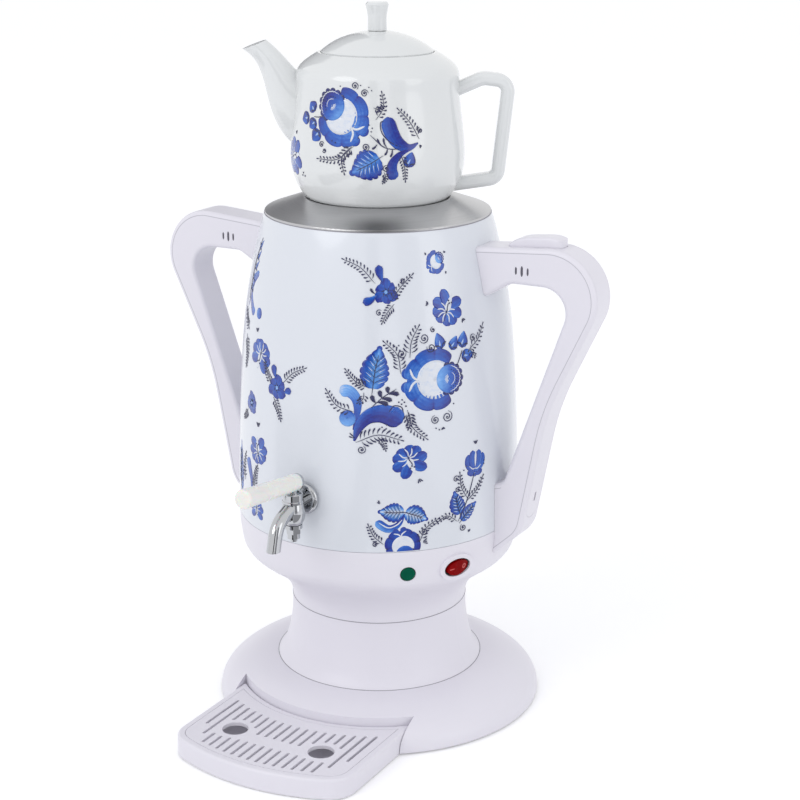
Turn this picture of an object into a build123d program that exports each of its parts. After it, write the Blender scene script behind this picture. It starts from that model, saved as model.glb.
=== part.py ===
from build123d import *
import os
from math import cos, radians, sin, sqrt

# Electric tea maker: a boiler on a pedestal with a teapot kept warm on top.
# Millimetres. The origin is on the body's axis, on the table.
# The tap and the drip tray point to -Y, the handles to +X and -X.

# Heights of the stacked housings, from the table up
foot_height = 1.5
base_height = 26.5
neck_height = 45.8
bowl_height = 66.6
shell_height = 210.6
lid_rise = 10.8
pot_height = 95.6
lid_dome_height = 13.8
knob_height = 18.4

# Radii of the stacked housings
base_radius = 115.5
neck_foot_radius = 73.4
waist_radius = 62.2
body_radius = 98.7
rim_radius = 77.0

# Walls and clearances
plastic_wall = 2.5
sheet = 0.8
seam = 0.3
seat_gap = 0.1
running_gap = 0.05
tray_gap = 0.5

# Levels that follow from the heights
base_bottom = foot_height
base_top = base_bottom + base_height
neck_top = base_top + neck_height
bowl_top = neck_top + bowl_height
shell_bottom = bowl_top + seam
shell_top = bowl_top + shell_height
lid_crest = shell_top + lid_rise

# Base, notch and tray; the tray is placed from the round back wall of the notch
notch_depth = 15.5
notch_side_wall = 2.5
notch_radius = base_radius - notch_depth
tray_width = 136.0
tray_length = 79.8
tray_reach = notch_radius + tray_length
tray_bottom = 1.0
tray_height = 15.0
tray_wall = 2.2
tray_floor = 2.0
tray_front_radius = 150.0
tray_corner_radius = 19.0
tray_foot_radius = 5.0
tray_foot_setback = 32.0
tray_foot_spread_x = 96.0
tray_foot_spread_y = 36.0
grille_margin = 5.0
grille_thickness = 2.5
grille_ledge = 2.0
slot_count = 18
slot_width = 2.2
slot_side_land = 7.24
slot_pitch = (tray_width - 2 * (grille_margin + slot_side_land)) / (slot_count - 1)
slot_land = 10.0
slot_front_land = 4.0
slot_middle_setback = 44.0
slot_end_margin = 5.5
finger_hole_radius = 9.0
finger_hole_offset = 34.0
finger_hole_setback = 38.0
finger_hole_land = 4.0

# Feet and screws of the base
plate_thickness = 2.0
plate_gap = 1.2
foot_pad_radius = 8.0
foot_pad_recess = 0.8
foot_inset = 16.7
foot_side_gap = 0.9
foot_x = tray_width / 2 + tray_gap + notch_side_wall + foot_pad_radius + foot_side_gap
foot_y = sqrt((base_radius - foot_inset) ** 2 - foot_x ** 2)
base_screw_circle = base_radius - 23.5
neck_screw_circle = waist_radius - 9.2
flange_inner_radius = waist_radius - 18.2
boss_radius = 4.4
boss_height = 12.0
screw_radius = 1.6
screw_grip = 9.0
screw_head_radius = 3.3
screw_head_height = 1.8
screw_clearance = 0.1

# Water tank
tank_inset = 4.5
tank_radius = rim_radius - tank_inset
tank_floor_gap = 11.6
tank_corner_radius = 8.0
tank_top_drop = 1.5
rim_ring_height = 6.0
support_thickness = 2.5
support_foot_width = 5.0
support_offset = 7.0
spigot_height = 4.0
spigot_wall = 2.0

# Heating plate and its controls
plate_radius = 45.0
heat_plate_thickness = 3.5
element_ring_radius = 36.0
element_tube_radius = 3.5
element_gap = 40.0
thermostat_radius = 12.0
thermostat_height = 8.0
cutout_radius = 7.5
cutout_height = 6.0
cutout_offset = 23.0
tab_width = 4.8
tab_thickness = 0.8
tab_length = 8.0

# Boiler lid
lid_lip_height = 1.2
lid_overhang = 0.1
steam_hole_radius = 18.0
seat_recess_depth = 2.6
seat_play = 2.0
seat_rim_width = 4.0
lid_skirt_gap = 0.8
lid_skirt_depth = 8.0
lid_rest_inset = 0.8

# Teapot
pot_turn = 29.5
pot_belly_radius = 58.2
pot_foot_radius = pot_belly_radius - 14.2
pot_mouth_radius = pot_belly_radius - 20.8
pot_heel_flare = 4.7
pot_wall = 4.0
pot_floor = 5.0
pot_gallery_width = 4.5
pot_gallery_depth = 3.0
strainer_hole_radius = 1.9
strainer_circle = 5.2
pot_lid_thickness = 3.0
pot_lid_skirt = 9.0
pot_lid_gap = 0.5
knob_radius = 6.3
knob_top_radius = 7.7
spout_wall = 3.0
pot_handle_width = 12.0
pot_handle_thickness = 9.0

# Tap
tap_height = bowl_top + 34.6
tap_reach = body_radius + 14.7
spout_stand_off = 24.6
tap_drop = 24.6
tap_depth = 13.4
tap_flange_radius = 10.8
tap_flange_thickness = 3.2
tap_seal_thickness = 1.2
tap_pipe_radius = 5.0
tap_water_radius = 1.9
tap_bulb_radius = 8.0
tap_collar_radius = 6.75
tap_collar_top = 8.3
tap_plug_radius = 4.4
tap_nut_radius = 9.0
tap_nut_thickness = 4.0
spout_outer_radius = 4.7
spout_bore_radius = 3.3
stem_radius = 3.0
lower_stem_radius = 2.2
washer_radius = 5.9
washer_thickness = 2.6
end_nut_radius = 5.2
end_nut_height = 3.6
lever_length = 62.0
lever_root_radius = 5.7
lever_tip_radius = 6.3
lever_tilt = 7.0
lever_lift = 14.8
lever_back = 3.0
lever_core_length = 12.0
lever_core_radius = 2.4
lever_cap_thickness = 3.0

# Handles, placed from the body's largest radius and from the ends of the shell
handle_width = 26.0
handle_edge = 3.0
handle_wall = 3.5
cover_width = 20.0
cover_thickness = 3.0
cover_gap = 0.15
cover_start = rim_radius + 7.0
cover_end = bowl_top + 10.6
cover_slot_rise = 15.0
handle_root_x = rim_radius - 17.0
handle_top_start = Vector(handle_root_x, shell_top - 16.4)
handle_corner = Vector(body_radius + 89.3, shell_top - 7.0)
handle_knee = Vector(body_radius + 35.3, bowl_top + 89.4)
handle_heel = Vector(body_radius + 18.4, bowl_top + 1.6)
handle_toe = Vector(body_radius - 18.7, bowl_top - 32.6)
handle_throat = Vector(body_radius + 53.3, shell_top - 36.8)
handle_crotch = Vector(body_radius + 4.3, bowl_top + 35.6)
handle_pad_low = Vector(handle_root_x, shell_top - 49.0)
handle_pad_edge = Vector(rim_radius + 11.0, shell_top - 47.5)
handle_corner_radius = 33.0
handle_knee_radius = 180.0
handle_heel_radius = 24.0
handle_throat_radius = 16.5
handle_screw_heights = (shell_top - 29.0, bowl_top + 17.6)
handle_boss_radius = 5.0
handle_boss_length = 12.0
handle_plate_size = 14.0
handle_plate_depth = 3.5
handle_mark_x = body_radius + 15.8
handle_mark_height = shell_top - 27.4
handle_mark_pitch = 4.2
handle_mark_depth = 1.2

# Thumb button on the right handle
button_start = body_radius + 2.3
button_length = 38.0
button_width = 14.0
button_rise = 6.0
button_gap = 0.3
button_flange = 1.8
button_flange_thickness = 2.0
spring_radius = 4.0
spring_wire_radius = 0.5
spring_turns = 4

# Lamp, switch and inlet
control_height = bowl_top - 16.4
control_tilt = 10.0
lamp_turn = 41.0
lamp_radius = 5.3
lamp_rim = 0.4
lamp_stem_inset = 1.2
lamp_depth = 8.0
switch_turn = 62.0
switch_length = 20.6
switch_width = 13.6
switch_rim = 3.0
switch_rim_rise = 0.9
switch_well = 1.4
switch_depth = 15.0
switch_tab_pitch = 6.0
rocker_tilt = 8.0
rocker_gap = 1.4
rocker_height = 5.6
rocker_pin_radius = 1.2
rocker_pin_depth = 2.0
inlet_height = base_top + 22.0
inlet_face = waist_radius + 4.8
inlet_flange_width = 32.0
inlet_flange_height = 25.0
inlet_socket_width = 24.4
inlet_socket_height = 16.6
inlet_depth = 22.0
inlet_wall = 1.6
inlet_back_wall = 4.0
inlet_pin_length = 12.0
inlet_pin_places = [(-7, -2), (7, -2), (0, 2.5)]

os.makedirs("parts", exist_ok=True)


def base_line(wall=0.0):
    """Line of the domed base from its rim to the neck's seat, or of its inside."""
    Spline(
        (base_radius - wall, base_bottom),
        (base_radius - 5.0 - wall, base_bottom + base_height * 0.45 - wall * 0.3),
        (base_radius - 23.5 - wall * 0.6, base_top - 4.0 - wall * 0.9),
        (neck_foot_radius, base_top - wall),
        tangents=[(0, 1), (-1, 0.16)],
    )


def neck_line(wall=0.0, trim=0.0):
    """Line of the waisted neck, or of its inside between the flanges."""
    Spline(
        (neck_foot_radius - 1.2 * (wall + trim), base_top + trim),
        (waist_radius + 3.6 - wall, base_top + 15.0),
        (waist_radius - wall, neck_top - trim),
        tangents=[(-0.75, 0.66), (0, 1)],
    )


def bowl_radius(share):
    """Radius at a share of the way from the waist to the body."""
    return waist_radius + share * (body_radius - waist_radius)


def bowl_level(share):
    """Height at a share of the bowl's height."""
    return neck_top + share * bowl_height


def bowl_line(gap=0.0):
    """Outer line of the lower housing, from the waist out to the body."""
    Spline(
        (waist_radius + gap, neck_top),
        (bowl_radius(0.099) + gap, bowl_level(0.201)),
        (bowl_radius(0.584) + gap, bowl_level(0.461)),
        (bowl_radius(0.923) + gap, bowl_level(0.641)),
        (bowl_radius(0.975) + gap, bowl_level(0.79)),
        (body_radius + gap, bowl_top),
        tangents=[(0, 1), (0, 1)],
    )


def shell_station(share):
    """Radius at a share of the way from the rim to the body."""
    return rim_radius + share * (body_radius - rim_radius)


def shell_line(gap=0.0, bottom=shell_bottom):
    """Outer line of the painted shell, tapering to the rim."""
    Spline(
        (body_radius + gap, bottom),
        (shell_station(0.908) + gap, bowl_top + 0.342 * shell_height),
        (shell_station(0.53) + gap, shell_top - 0.23 * shell_height),
        (shell_station(0.189) + gap, shell_top - 0.064 * shell_height),
        (rim_radius + gap, shell_top),
        tangents=[(0, 1), (-0.45, 1)],
    )


def envelope(gap):
    """Solid of revolution that fills the housings, grown by a gap."""
    with BuildPart() as solid:
        with BuildSketch(Plane.XZ):
            with BuildLine():
                bowl_line(gap)
                shell_line(gap, bowl_top)
                Polyline(
                    (rim_radius + gap, shell_top),
                    (0, shell_top),
                    (0, neck_top),
                    (waist_radius + gap, neck_top),
                )
            make_face()
        revolve(axis=Axis.Z)
    return solid.part


def shell_room(gap):
    """Space inside the painted shell, kept a gap clear of its sheet."""
    with BuildPart() as room:
        with BuildSketch(Plane.XZ):
            with BuildLine():
                shell_line(-sheet - gap)
                Polyline(
                    (rim_radius - sheet - gap, shell_top),
                    (0, shell_top),
                    (0, shell_bottom),
                    (body_radius - sheet - gap, shell_bottom),
                )
            make_face()
        revolve(axis=Axis.Z)
    return room.part


body_solid = envelope(0)
body_seat = envelope(seat_gap)


def notch(gap):
    """Space at the front of the base that takes the back of the tray."""
    half_width = tray_width / 2 + tray_gap + gap
    back_radius = notch_radius - gap
    with BuildPart() as space:
        with BuildSketch():
            with Locations((0, -base_radius)):
                Rectangle(2 * half_width, base_radius)
            Circle(back_radius, mode=Mode.SUBTRACT)
        extrude(amount=base_top + 1)
    return space.part


def surface_plane(turn):
    """Plane on the lower housing's outside, turned from the front towards +X."""
    out = Vector(sin(radians(turn)), -cos(radians(turn)), 0)
    across = Vector(cos(radians(turn)), sin(radians(turn)), 0)
    normal = out * cos(radians(control_tilt)) - Vector(0, 0, sin(radians(control_tilt)))
    foot = out * (body_radius - 1.0) + Vector(0, 0, control_height)
    return Plane(origin=foot, x_dir=across, z_dir=normal)


def ring(outer, inner, bottom, top):
    """Plain ring between two levels."""
    with BuildPart() as body:
        with BuildSketch(Plane.XY.offset(bottom)):
            Circle(outer)
            Circle(inner, mode=Mode.SUBTRACT)
        extrude(amount=top - bottom)
    return body.part


# Base
with BuildPart() as dome:
    with BuildSketch(Plane.XZ):
        with BuildLine():
            base_line()
            Polyline(
                (neck_foot_radius, base_top),
                (flange_inner_radius, base_top),
                (flange_inner_radius, base_bottom),
                (base_radius, base_bottom),
            )
        make_face()
    revolve(axis=Axis.Z)

notch_lining = (notch(notch_side_wall) & dome.part) - notch(0)
base_screw_places = PolarLocations(base_screw_circle, 4, start_angle=-15, angular_range=210, endpoint=True)
neck_screw_places = PolarLocations(neck_screw_circle, 4, start_angle=45)

with BuildPart() as foot_base:
    with BuildSketch(Plane.XZ):
        with BuildLine():
            base_line()
            Polyline(
                (neck_foot_radius, base_top),
                (flange_inner_radius, base_top),
                (flange_inner_radius, base_top - plastic_wall),
                (neck_foot_radius, base_top - plastic_wall),
            )
            base_line(plastic_wall)
            Line((base_radius - plastic_wall, base_bottom), (base_radius, base_bottom))
        make_face()
    revolve(axis=Axis.Z)
    add(notch(0), mode=Mode.SUBTRACT)
    add(notch_lining)
    with BuildSketch(Plane.XY.offset(base_bottom + plate_thickness)):
        with base_screw_places:
            Circle(boss_radius)
    extrude(until=Until.NEXT)
    with BuildSketch(Plane.XY.offset(base_bottom + plate_thickness)):
        with base_screw_places:
            Circle(screw_radius + running_gap)
    extrude(amount=boss_height, mode=Mode.SUBTRACT)
    with BuildSketch(Plane.XY.offset(base_top)):
        with neck_screw_places:
            Circle(screw_radius + screw_clearance)
    extrude(amount=-plastic_wall, mode=Mode.SUBTRACT)
foot_base.part.label = "foot_base"
export_step(foot_base.part, "parts/foot_base.step")

with BuildPart() as base_plate:
    with BuildSketch(Plane.XY.offset(base_bottom)):
        Circle(base_radius - plastic_wall - plate_gap)
    extrude(amount=plate_thickness)
    add(notch(notch_side_wall + seam), mode=Mode.SUBTRACT)
    with BuildSketch(Plane.XY.offset(base_bottom)):
        with GridLocations(2 * foot_x, 2 * foot_y, 2, 2):
            Circle(foot_pad_radius + seat_gap)
        with base_screw_places:
            Circle(screw_head_radius + screw_clearance)
    extrude(amount=foot_pad_recess, mode=Mode.SUBTRACT)
    with BuildSketch(Plane.XY.offset(base_bottom)):
        with base_screw_places:
            Circle(screw_radius + screw_clearance)
    extrude(amount=plate_thickness, mode=Mode.SUBTRACT)
base_plate.part.label = "base_plate"
export_step(base_plate.part, "parts/base_plate.step")

with BuildPart() as rubber_feet:
    with BuildSketch():
        with GridLocations(2 * foot_x, 2 * foot_y, 2, 2):
            Circle(foot_pad_radius)
    extrude(amount=foot_height + foot_pad_recess)
    chamfer(rubber_feet.faces().sort_by(Axis.Z)[:4].edges(), length=0.5)
rubber_feet.part.label = "rubber_feet"
export_step(rubber_feet.part, "parts/rubber_feet.step")

with BuildPart() as base_screws:
    with BuildSketch(Plane.XY.offset(base_bottom + foot_pad_recess)):
        with base_screw_places:
            Circle(screw_head_radius)
    extrude(amount=-foot_pad_recess)
    with BuildSketch(Plane.XY.offset(base_bottom + foot_pad_recess)):
        with base_screw_places:
            Circle(screw_radius)
    extrude(amount=screw_grip + 1)
base_screws.part.label = "base_screws"
export_step(base_screws.part, "parts/base_screws.step")

# Neck
inlet_plane = Plane(origin=(0, inlet_face, inlet_height), x_dir=(-1, 0, 0), z_dir=(0, 1, 0))

with BuildPart() as pedestal_neck:
    with BuildSketch(Plane.XZ):
        with BuildLine():
            neck_line()
            Polyline(
                (waist_radius, neck_top),
                (flange_inner_radius, neck_top),
                (flange_inner_radius, neck_top - plastic_wall),
                (waist_radius - plastic_wall, neck_top - plastic_wall),
            )
            neck_line(plastic_wall, plastic_wall)
            Polyline(
                (neck_foot_radius - 2.4 * plastic_wall, base_top + plastic_wall),
                (flange_inner_radius, base_top + plastic_wall),
                (flange_inner_radius, base_top),
                (neck_foot_radius, base_top),
            )
        make_face()
    revolve(axis=Axis.Z)
    with BuildSketch(inlet_plane.offset(-inlet_wall)):
        Rectangle(inlet_flange_width + 4, inlet_flange_height + 4)
    extrude(amount=-9)
    with BuildSketch(inlet_plane.offset(-inlet_wall)):
        Rectangle(inlet_flange_width + 2 * seat_gap, inlet_flange_height + 2 * seat_gap)
    extrude(amount=10, mode=Mode.SUBTRACT)
    with BuildSketch(inlet_plane):
        Rectangle(inlet_socket_width + 2 * inlet_wall + 0.4, inlet_socket_height + 2 * inlet_wall + 0.4)
    extrude(amount=-30, mode=Mode.SUBTRACT)
    with BuildSketch(Plane.XY.offset(base_top)):
        with neck_screw_places:
            Circle(boss_radius)
    extrude(amount=boss_height)
    with BuildSketch(Plane.XY.offset(base_top)):
        with neck_screw_places:
            Circle(screw_radius + running_gap)
    extrude(amount=boss_height, mode=Mode.SUBTRACT)
    with BuildSketch(Plane.XY.offset(neck_top)):
        with neck_screw_places:
            Circle(boss_radius)
    extrude(amount=1 - boss_height)
    with BuildSketch(Plane.XY.offset(neck_top)):
        with neck_screw_places:
            Circle(screw_radius + running_gap)
    extrude(amount=1 - boss_height, mode=Mode.SUBTRACT)
pedestal_neck.part.label = "pedestal_neck"
export_step(pedestal_neck.part, "parts/pedestal_neck.step")

with BuildPart() as neck_screws:
    with BuildSketch(Plane.XY.offset(base_top - plastic_wall)):
        with neck_screw_places:
            Circle(screw_head_radius)
    extrude(amount=-screw_head_height)
    with BuildSketch(Plane.XY.offset(base_top - plastic_wall)):
        with neck_screw_places:
            Circle(screw_radius)
    extrude(amount=plastic_wall + screw_grip)
neck_screws.part.label = "neck_screws"
export_step(neck_screws.part, "parts/neck_screws.step")

with BuildPart() as housing_screws:
    with BuildSketch(Plane.XY.offset(neck_top + plastic_wall)):
        with neck_screw_places:
            Circle(screw_head_radius)
    extrude(amount=screw_head_height)
    with BuildSketch(Plane.XY.offset(neck_top + plastic_wall)):
        with neck_screw_places:
            Circle(screw_radius)
    extrude(amount=-plastic_wall - screw_grip)
housing_screws.part.label = "housing_screws"
export_step(housing_screws.part, "parts/housing_screws.step")

# Mains inlet at the back of the neck
with BuildPart() as power_inlet:
    with BuildSketch(inlet_plane):
        Rectangle(inlet_flange_width, inlet_flange_height)
    extrude(amount=-inlet_wall)
    fillet(power_inlet.edges().filter_by(Axis.Y), radius=3)
    with BuildSketch(inlet_plane):
        Rectangle(inlet_socket_width + 2 * inlet_wall, inlet_socket_height + 2 * inlet_wall)
    extrude(amount=-inlet_depth)
    with BuildSketch(inlet_plane):
        socket_outline = Rectangle(inlet_socket_width, inlet_socket_height)
        chamfer(socket_outline.vertices().group_by(Axis.Z)[-1], length=4)
    extrude(amount=-inlet_depth + inlet_back_wall, mode=Mode.SUBTRACT)
power_inlet.part.label = "power_inlet"
export_step(power_inlet.part, "parts/power_inlet.step")

with BuildPart() as inlet_pins:
    with BuildSketch(inlet_plane.offset(-inlet_depth + inlet_back_wall)):
        with Locations(*inlet_pin_places):
            Rectangle(2, 4)
    extrude(amount=inlet_pin_length)
    with BuildSketch(inlet_plane.offset(-inlet_depth)):
        with Locations(*inlet_pin_places):
            Rectangle(tab_thickness, tab_width + 1.5)
    extrude(amount=-tab_length)
inlet_pins.part.label = "inlet_pins"
export_step(inlet_pins.part, "parts/inlet_pins.step")

# Lower housing with lamp and switch
lamp_plane = surface_plane(lamp_turn)
switch_plane = surface_plane(switch_turn)

spigot_radius = body_radius - sheet - seat_gap
spigot_inner_radius = spigot_radius - spigot_wall

with BuildPart() as lower_housing:
    with BuildSketch(Plane.XZ):
        with BuildLine():
            bowl_line()
            Polyline(
                (body_radius, bowl_top),
                (spigot_radius, bowl_top),
                (spigot_radius, bowl_top + spigot_height),
                (spigot_inner_radius, bowl_top + spigot_height),
                (spigot_inner_radius, bowl_top - 4.0),
            )
            Spline(
                (spigot_inner_radius, bowl_top - 4.0),
                (bowl_radius(0.912) - plastic_wall, bowl_level(0.655)),
                (bowl_radius(0.584) - plastic_wall * 0.7, bowl_level(0.461) + plastic_wall * 0.8),
                (bowl_radius(0.099) - plastic_wall * 0.9, bowl_level(0.216)),
                (waist_radius - plastic_wall, neck_top + plastic_wall),
                tangents=[(0, -1), (0, -1)],
            )
            Polyline(
                (waist_radius - plastic_wall, neck_top + plastic_wall),
                (flange_inner_radius, neck_top + plastic_wall),
                (flange_inner_radius, neck_top),
                (waist_radius, neck_top),
            )
        make_face()
    revolve(axis=Axis.Z)
    with BuildSketch(switch_plane.offset(-6)):
        Ellipse(switch_length / 2 + switch_rim, switch_width / 2 + switch_rim)
    extrude(amount=6 + switch_rim_rise)
    with BuildSketch(switch_plane.offset(4)):
        Ellipse(switch_length / 2, switch_width / 2)
    extrude(amount=-16, mode=Mode.SUBTRACT)
    with BuildSketch(lamp_plane.offset(4)):
        Circle(lamp_radius + seat_gap)
    extrude(amount=-10, mode=Mode.SUBTRACT)
    with BuildSketch(Plane.XY.offset(neck_top)):
        with neck_screw_places:
            Circle(screw_radius + screw_clearance)
    extrude(amount=plastic_wall, mode=Mode.SUBTRACT)
lower_housing.part.label = "lower_housing"
export_step(lower_housing.part, "parts/lower_housing.step")

with BuildPart() as lamp_lens:
    with BuildSketch(lamp_plane.offset(-lamp_depth)):
        Circle(lamp_radius - lamp_stem_inset)
    extrude(amount=lamp_depth)
    with BuildSketch(lamp_plane.offset(-1)):
        Circle(lamp_radius - lamp_rim)
    extrude(amount=1.6)
    fillet(lamp_lens.faces().sort_by(Axis(lamp_plane.origin, lamp_plane.z_dir))[-1].edges(), radius=1.0)
lamp_lens.part.label = "lamp_lens"
export_step(lamp_lens.part, "parts/lamp_lens.step")

with BuildPart() as lamp_holder:
    with BuildSketch(lamp_plane.offset(-1 - seat_gap)):
        Circle(lamp_radius)
    extrude(amount=-17)
    with BuildSketch(lamp_plane.offset(-1 - seat_gap)):
        Circle(lamp_radius - lamp_stem_inset + seat_gap)
    extrude(amount=-lamp_depth, mode=Mode.SUBTRACT)
    with BuildSketch(lamp_plane.offset(-4.5)):
        Circle(lamp_radius + 2.2)
        Circle(lamp_radius - 0.5, mode=Mode.SUBTRACT)
    extrude(amount=-2)
lamp_holder.part.label = "lamp_holder"
export_step(lamp_holder.part, "parts/lamp_holder.step")

rocker_pin_plane = Plane(
    switch_plane.offset(-rocker_pin_depth).origin,
    x_dir=switch_plane.x_dir,
    z_dir=switch_plane.y_dir,
)

with BuildPart() as switch_body:
    with BuildSketch(switch_plane.offset(switch_rim_rise - switch_well)):
        Ellipse(switch_length / 2 - seat_gap, switch_width / 2 - seat_gap)
    extrude(amount=-switch_depth)
    with BuildSketch(switch_plane.offset(switch_rim_rise - switch_well)):
        Ellipse(switch_length / 2 - 0.9, switch_width / 2 - 0.9)
    extrude(amount=-5.5, mode=Mode.SUBTRACT)
    with BuildSketch(rocker_pin_plane):
        Circle(rocker_pin_radius + running_gap)
    extrude(amount=switch_width / 2 - 0.4, both=True, mode=Mode.SUBTRACT)
switch_body.part.label = "switch_body"
export_step(switch_body.part, "parts/switch_body.step")

with BuildPart() as switch_tabs:
    with BuildSketch(switch_plane.offset(switch_rim_rise - switch_well - switch_depth)):
        with GridLocations(switch_tab_pitch, 1, 3, 1):
            Rectangle(tab_thickness, tab_width)
    extrude(amount=-tab_length)
switch_tabs.part.label = "switch_tabs"
export_step(switch_tabs.part, "parts/switch_tabs.step")

with BuildPart() as rocker:
    with BuildSketch(switch_plane.offset(-2 * rocker_pin_depth)):
        Ellipse(switch_length / 2 - rocker_gap, switch_width / 2 - rocker_gap + 0.1)
    extrude(amount=rocker_height)
    with BuildSketch(rocker_pin_plane):
        with BuildLine():
            Polyline(
                (-switch_length, -1.2),
                (0, -4.0),
                (switch_length, -1.2),
                (switch_length, -8),
                (-switch_length, -8),
                (-switch_length, -1.2),
            )
        make_face()
    extrude(amount=switch_width, both=True, mode=Mode.SUBTRACT)
    with BuildSketch(rocker_pin_plane):
        Circle(rocker_pin_radius)
    extrude(amount=switch_width / 2 - 0.5, both=True)
rocker_axis = Axis(rocker_pin_plane.origin, rocker_pin_plane.z_dir)
rocker_at_rest = rocker.part.rotate(rocker_axis, rocker_tilt)
rocker_at_rest.label = "rocker"
export_step(rocker_at_rest, "parts/rocker.step")

# Outer shell
with BuildPart() as outer_shell:
    with BuildSketch(Plane.XZ):
        with BuildLine():
            shell_line()
            Line((rim_radius, shell_top), (rim_radius - sheet, shell_top))
            shell_line(-sheet)
            Line((body_radius - sheet, shell_bottom), (body_radius, shell_bottom))
        make_face()
    revolve(axis=Axis.Z)
    with BuildSketch(Plane.XZ.offset(tank_radius)):
        with Locations((0, tap_height)):
            Circle(tap_pipe_radius + 0.4)
    extrude(amount=40, mode=Mode.SUBTRACT)
    with BuildSketch(Plane.YZ):
        with Locations(*[(0, height) for height in handle_screw_heights]):
            Circle(screw_radius + screw_clearance)
    extrude(amount=body_radius + 10, both=True, mode=Mode.SUBTRACT)
outer_shell.part.label = "outer_shell"
export_step(outer_shell.part, "parts/outer_shell.step")

# Tank
tank_floor = bowl_top + tank_floor_gap
tank_top = shell_top - tank_top_drop

with BuildPart() as water_tank:
    with BuildSketch(Plane.XZ):
        with BuildLine():
            FilletPolyline(
                (0, tank_floor),
                (tank_radius, tank_floor),
                (tank_radius, tank_top),
                radius=tank_corner_radius,
            )
            offset(amount=sheet, side=Side.LEFT)
        make_face()
    revolve(axis=Axis.Z)
    add(ring(rim_radius - sheet - 3 * seat_gap, tank_radius - sheet, tank_top - sheet, tank_top))
    with BuildSketch(Plane.XZ.offset(tank_radius - 5)):
        with Locations((0, tap_height)):
            Circle(tap_pipe_radius + seat_gap)
    extrude(amount=8, mode=Mode.SUBTRACT)
water_tank.part.label = "water_tank"
export_step(water_tank.part, "parts/water_tank.step")

with BuildPart() as rim_ring:
    add(
        ring(
            rim_radius - sheet - 2 * seat_gap,
            tank_radius + seat_gap,
            tank_top - sheet - rim_ring_height,
            tank_top - sheet,
        )
    )
rim_ring.part.label = "rim_ring"
export_step(rim_ring.part, "parts/rim_ring.step")

support_bottom = bowl_top + spigot_height
support_inner = plate_radius + support_offset
with BuildPart() as tank_support:
    add(ring(spigot_radius, support_inner, support_bottom, support_bottom + support_thickness))
    add(ring(support_inner + support_foot_width, support_inner, support_bottom, tank_floor))
tank_support.part.label = "tank_support"
export_step(tank_support.part, "parts/tank_support.step")

# Heating plate, controls under the tank
heater_bottom = tank_floor - heat_plate_thickness

with BuildPart() as heating_plate:
    with BuildSketch(Plane.XY.offset(heater_bottom)):
        Circle(plate_radius)
    extrude(amount=heat_plate_thickness)
heating_plate.part.label = "heating_plate"
export_step(heating_plate.part, "parts/heating_plate.step")

element_plane = Plane.XZ.rotated((0, 0, element_gap / 2))
with BuildPart() as heating_element:
    with BuildSketch(element_plane):
        with Locations((element_ring_radius, heater_bottom - element_tube_radius)):
            Circle(element_tube_radius)
    revolve(axis=Axis.Z, revolution_arc=360 - element_gap)
heating_element.part.label = "heating_element"
export_step(heating_element.part, "parts/heating_element.step")

with BuildPart() as thermostat:
    with BuildSketch(Plane.XY.offset(heater_bottom)):
        Circle(thermostat_radius)
    extrude(amount=-2)
    with BuildSketch(Plane.XY.offset(heater_bottom - 2)):
        Circle(thermostat_radius - 2)
    extrude(amount=-thermostat_height + 2)
    with BuildSketch(Plane.XY.offset(heater_bottom - thermostat_height)):
        with GridLocations(10, 1, 2, 1):
            Rectangle(tab_width + 1.5, tab_thickness)
    extrude(amount=-tab_length)
thermostat.part.label = "thermostat"
export_step(thermostat.part, "parts/thermostat.step")

with BuildPart() as dry_boil_cutout:
    with BuildSketch(Plane.XY.offset(heater_bottom)):
        with Locations((0, cutout_offset)):
            Circle(cutout_radius)
    extrude(amount=-cutout_height)
    with BuildSketch(Plane.XY.offset(heater_bottom - cutout_height)):
        with Locations((0, cutout_offset)):
            with GridLocations(8, 1, 2, 1):
                Rectangle(tab_width, tab_thickness)
    extrude(amount=-tab_length)
dry_boil_cutout.part.label = "dry_boil_cutout"
export_step(dry_boil_cutout.part, "parts/dry_boil_cutout.step")

# Handles
def handle_outer_line():
    """Outside of the loop handle, from inside the body's top to its foot."""
    FilletPolyline(
        handle_top_start,
        handle_corner,
        handle_knee,
        handle_heel,
        handle_toe,
        radius=[handle_corner_radius, handle_knee_radius, handle_heel_radius],
    )


def handle_outline():
    """Closed outline of the loop handle, its gap left out."""
    handle_outer_line()
    FilletPolyline(
        handle_top_start,
        handle_pad_low,
        handle_pad_edge,
        (body_radius + 7.3, handle_throat.Y),
        handle_throat,
        handle_crotch,
        (handle_toe.X, handle_crotch.Y - 6),
        handle_toe,
        radius=[4, 8, 10, handle_throat_radius, 7, 4],
    )


def cover_band(width, depth, end_gap):
    """Strip that follows the outside of the handle, to a given depth."""
    middle = (cover_end + handle_corner.Y) / 2
    length = handle_corner.Y - cover_end + 40
    with BuildPart() as band:
        with BuildSketch(Plane.XZ):
            with BuildLine():
                handle_outer_line()
                offset(amount=depth, side=Side.RIGHT)
            make_face()
        extrude(amount=handle_width, both=True)
        with BuildSketch(Plane.YZ.offset(cover_start - end_gap)):
            with Locations((0, middle + 20 - end_gap / 2)):
                SlotOverall(length + end_gap, width, rotation=90)
        extrude(amount=120, mode=Mode.INTERSECT)
    return band.part


def thumb_window(gap):
    """Prism that the thumb button slides in, grown by a gap."""
    with BuildPart() as window:
        with BuildSketch(Plane.XY.offset(handle_throat.Y + handle_wall)):
            with Locations((button_start + button_length / 2, 0)):
                RectangleRounded(button_length + 2 * gap, button_width + 2 * gap, 4)
        extrude(amount=60)
    return window.part


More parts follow.
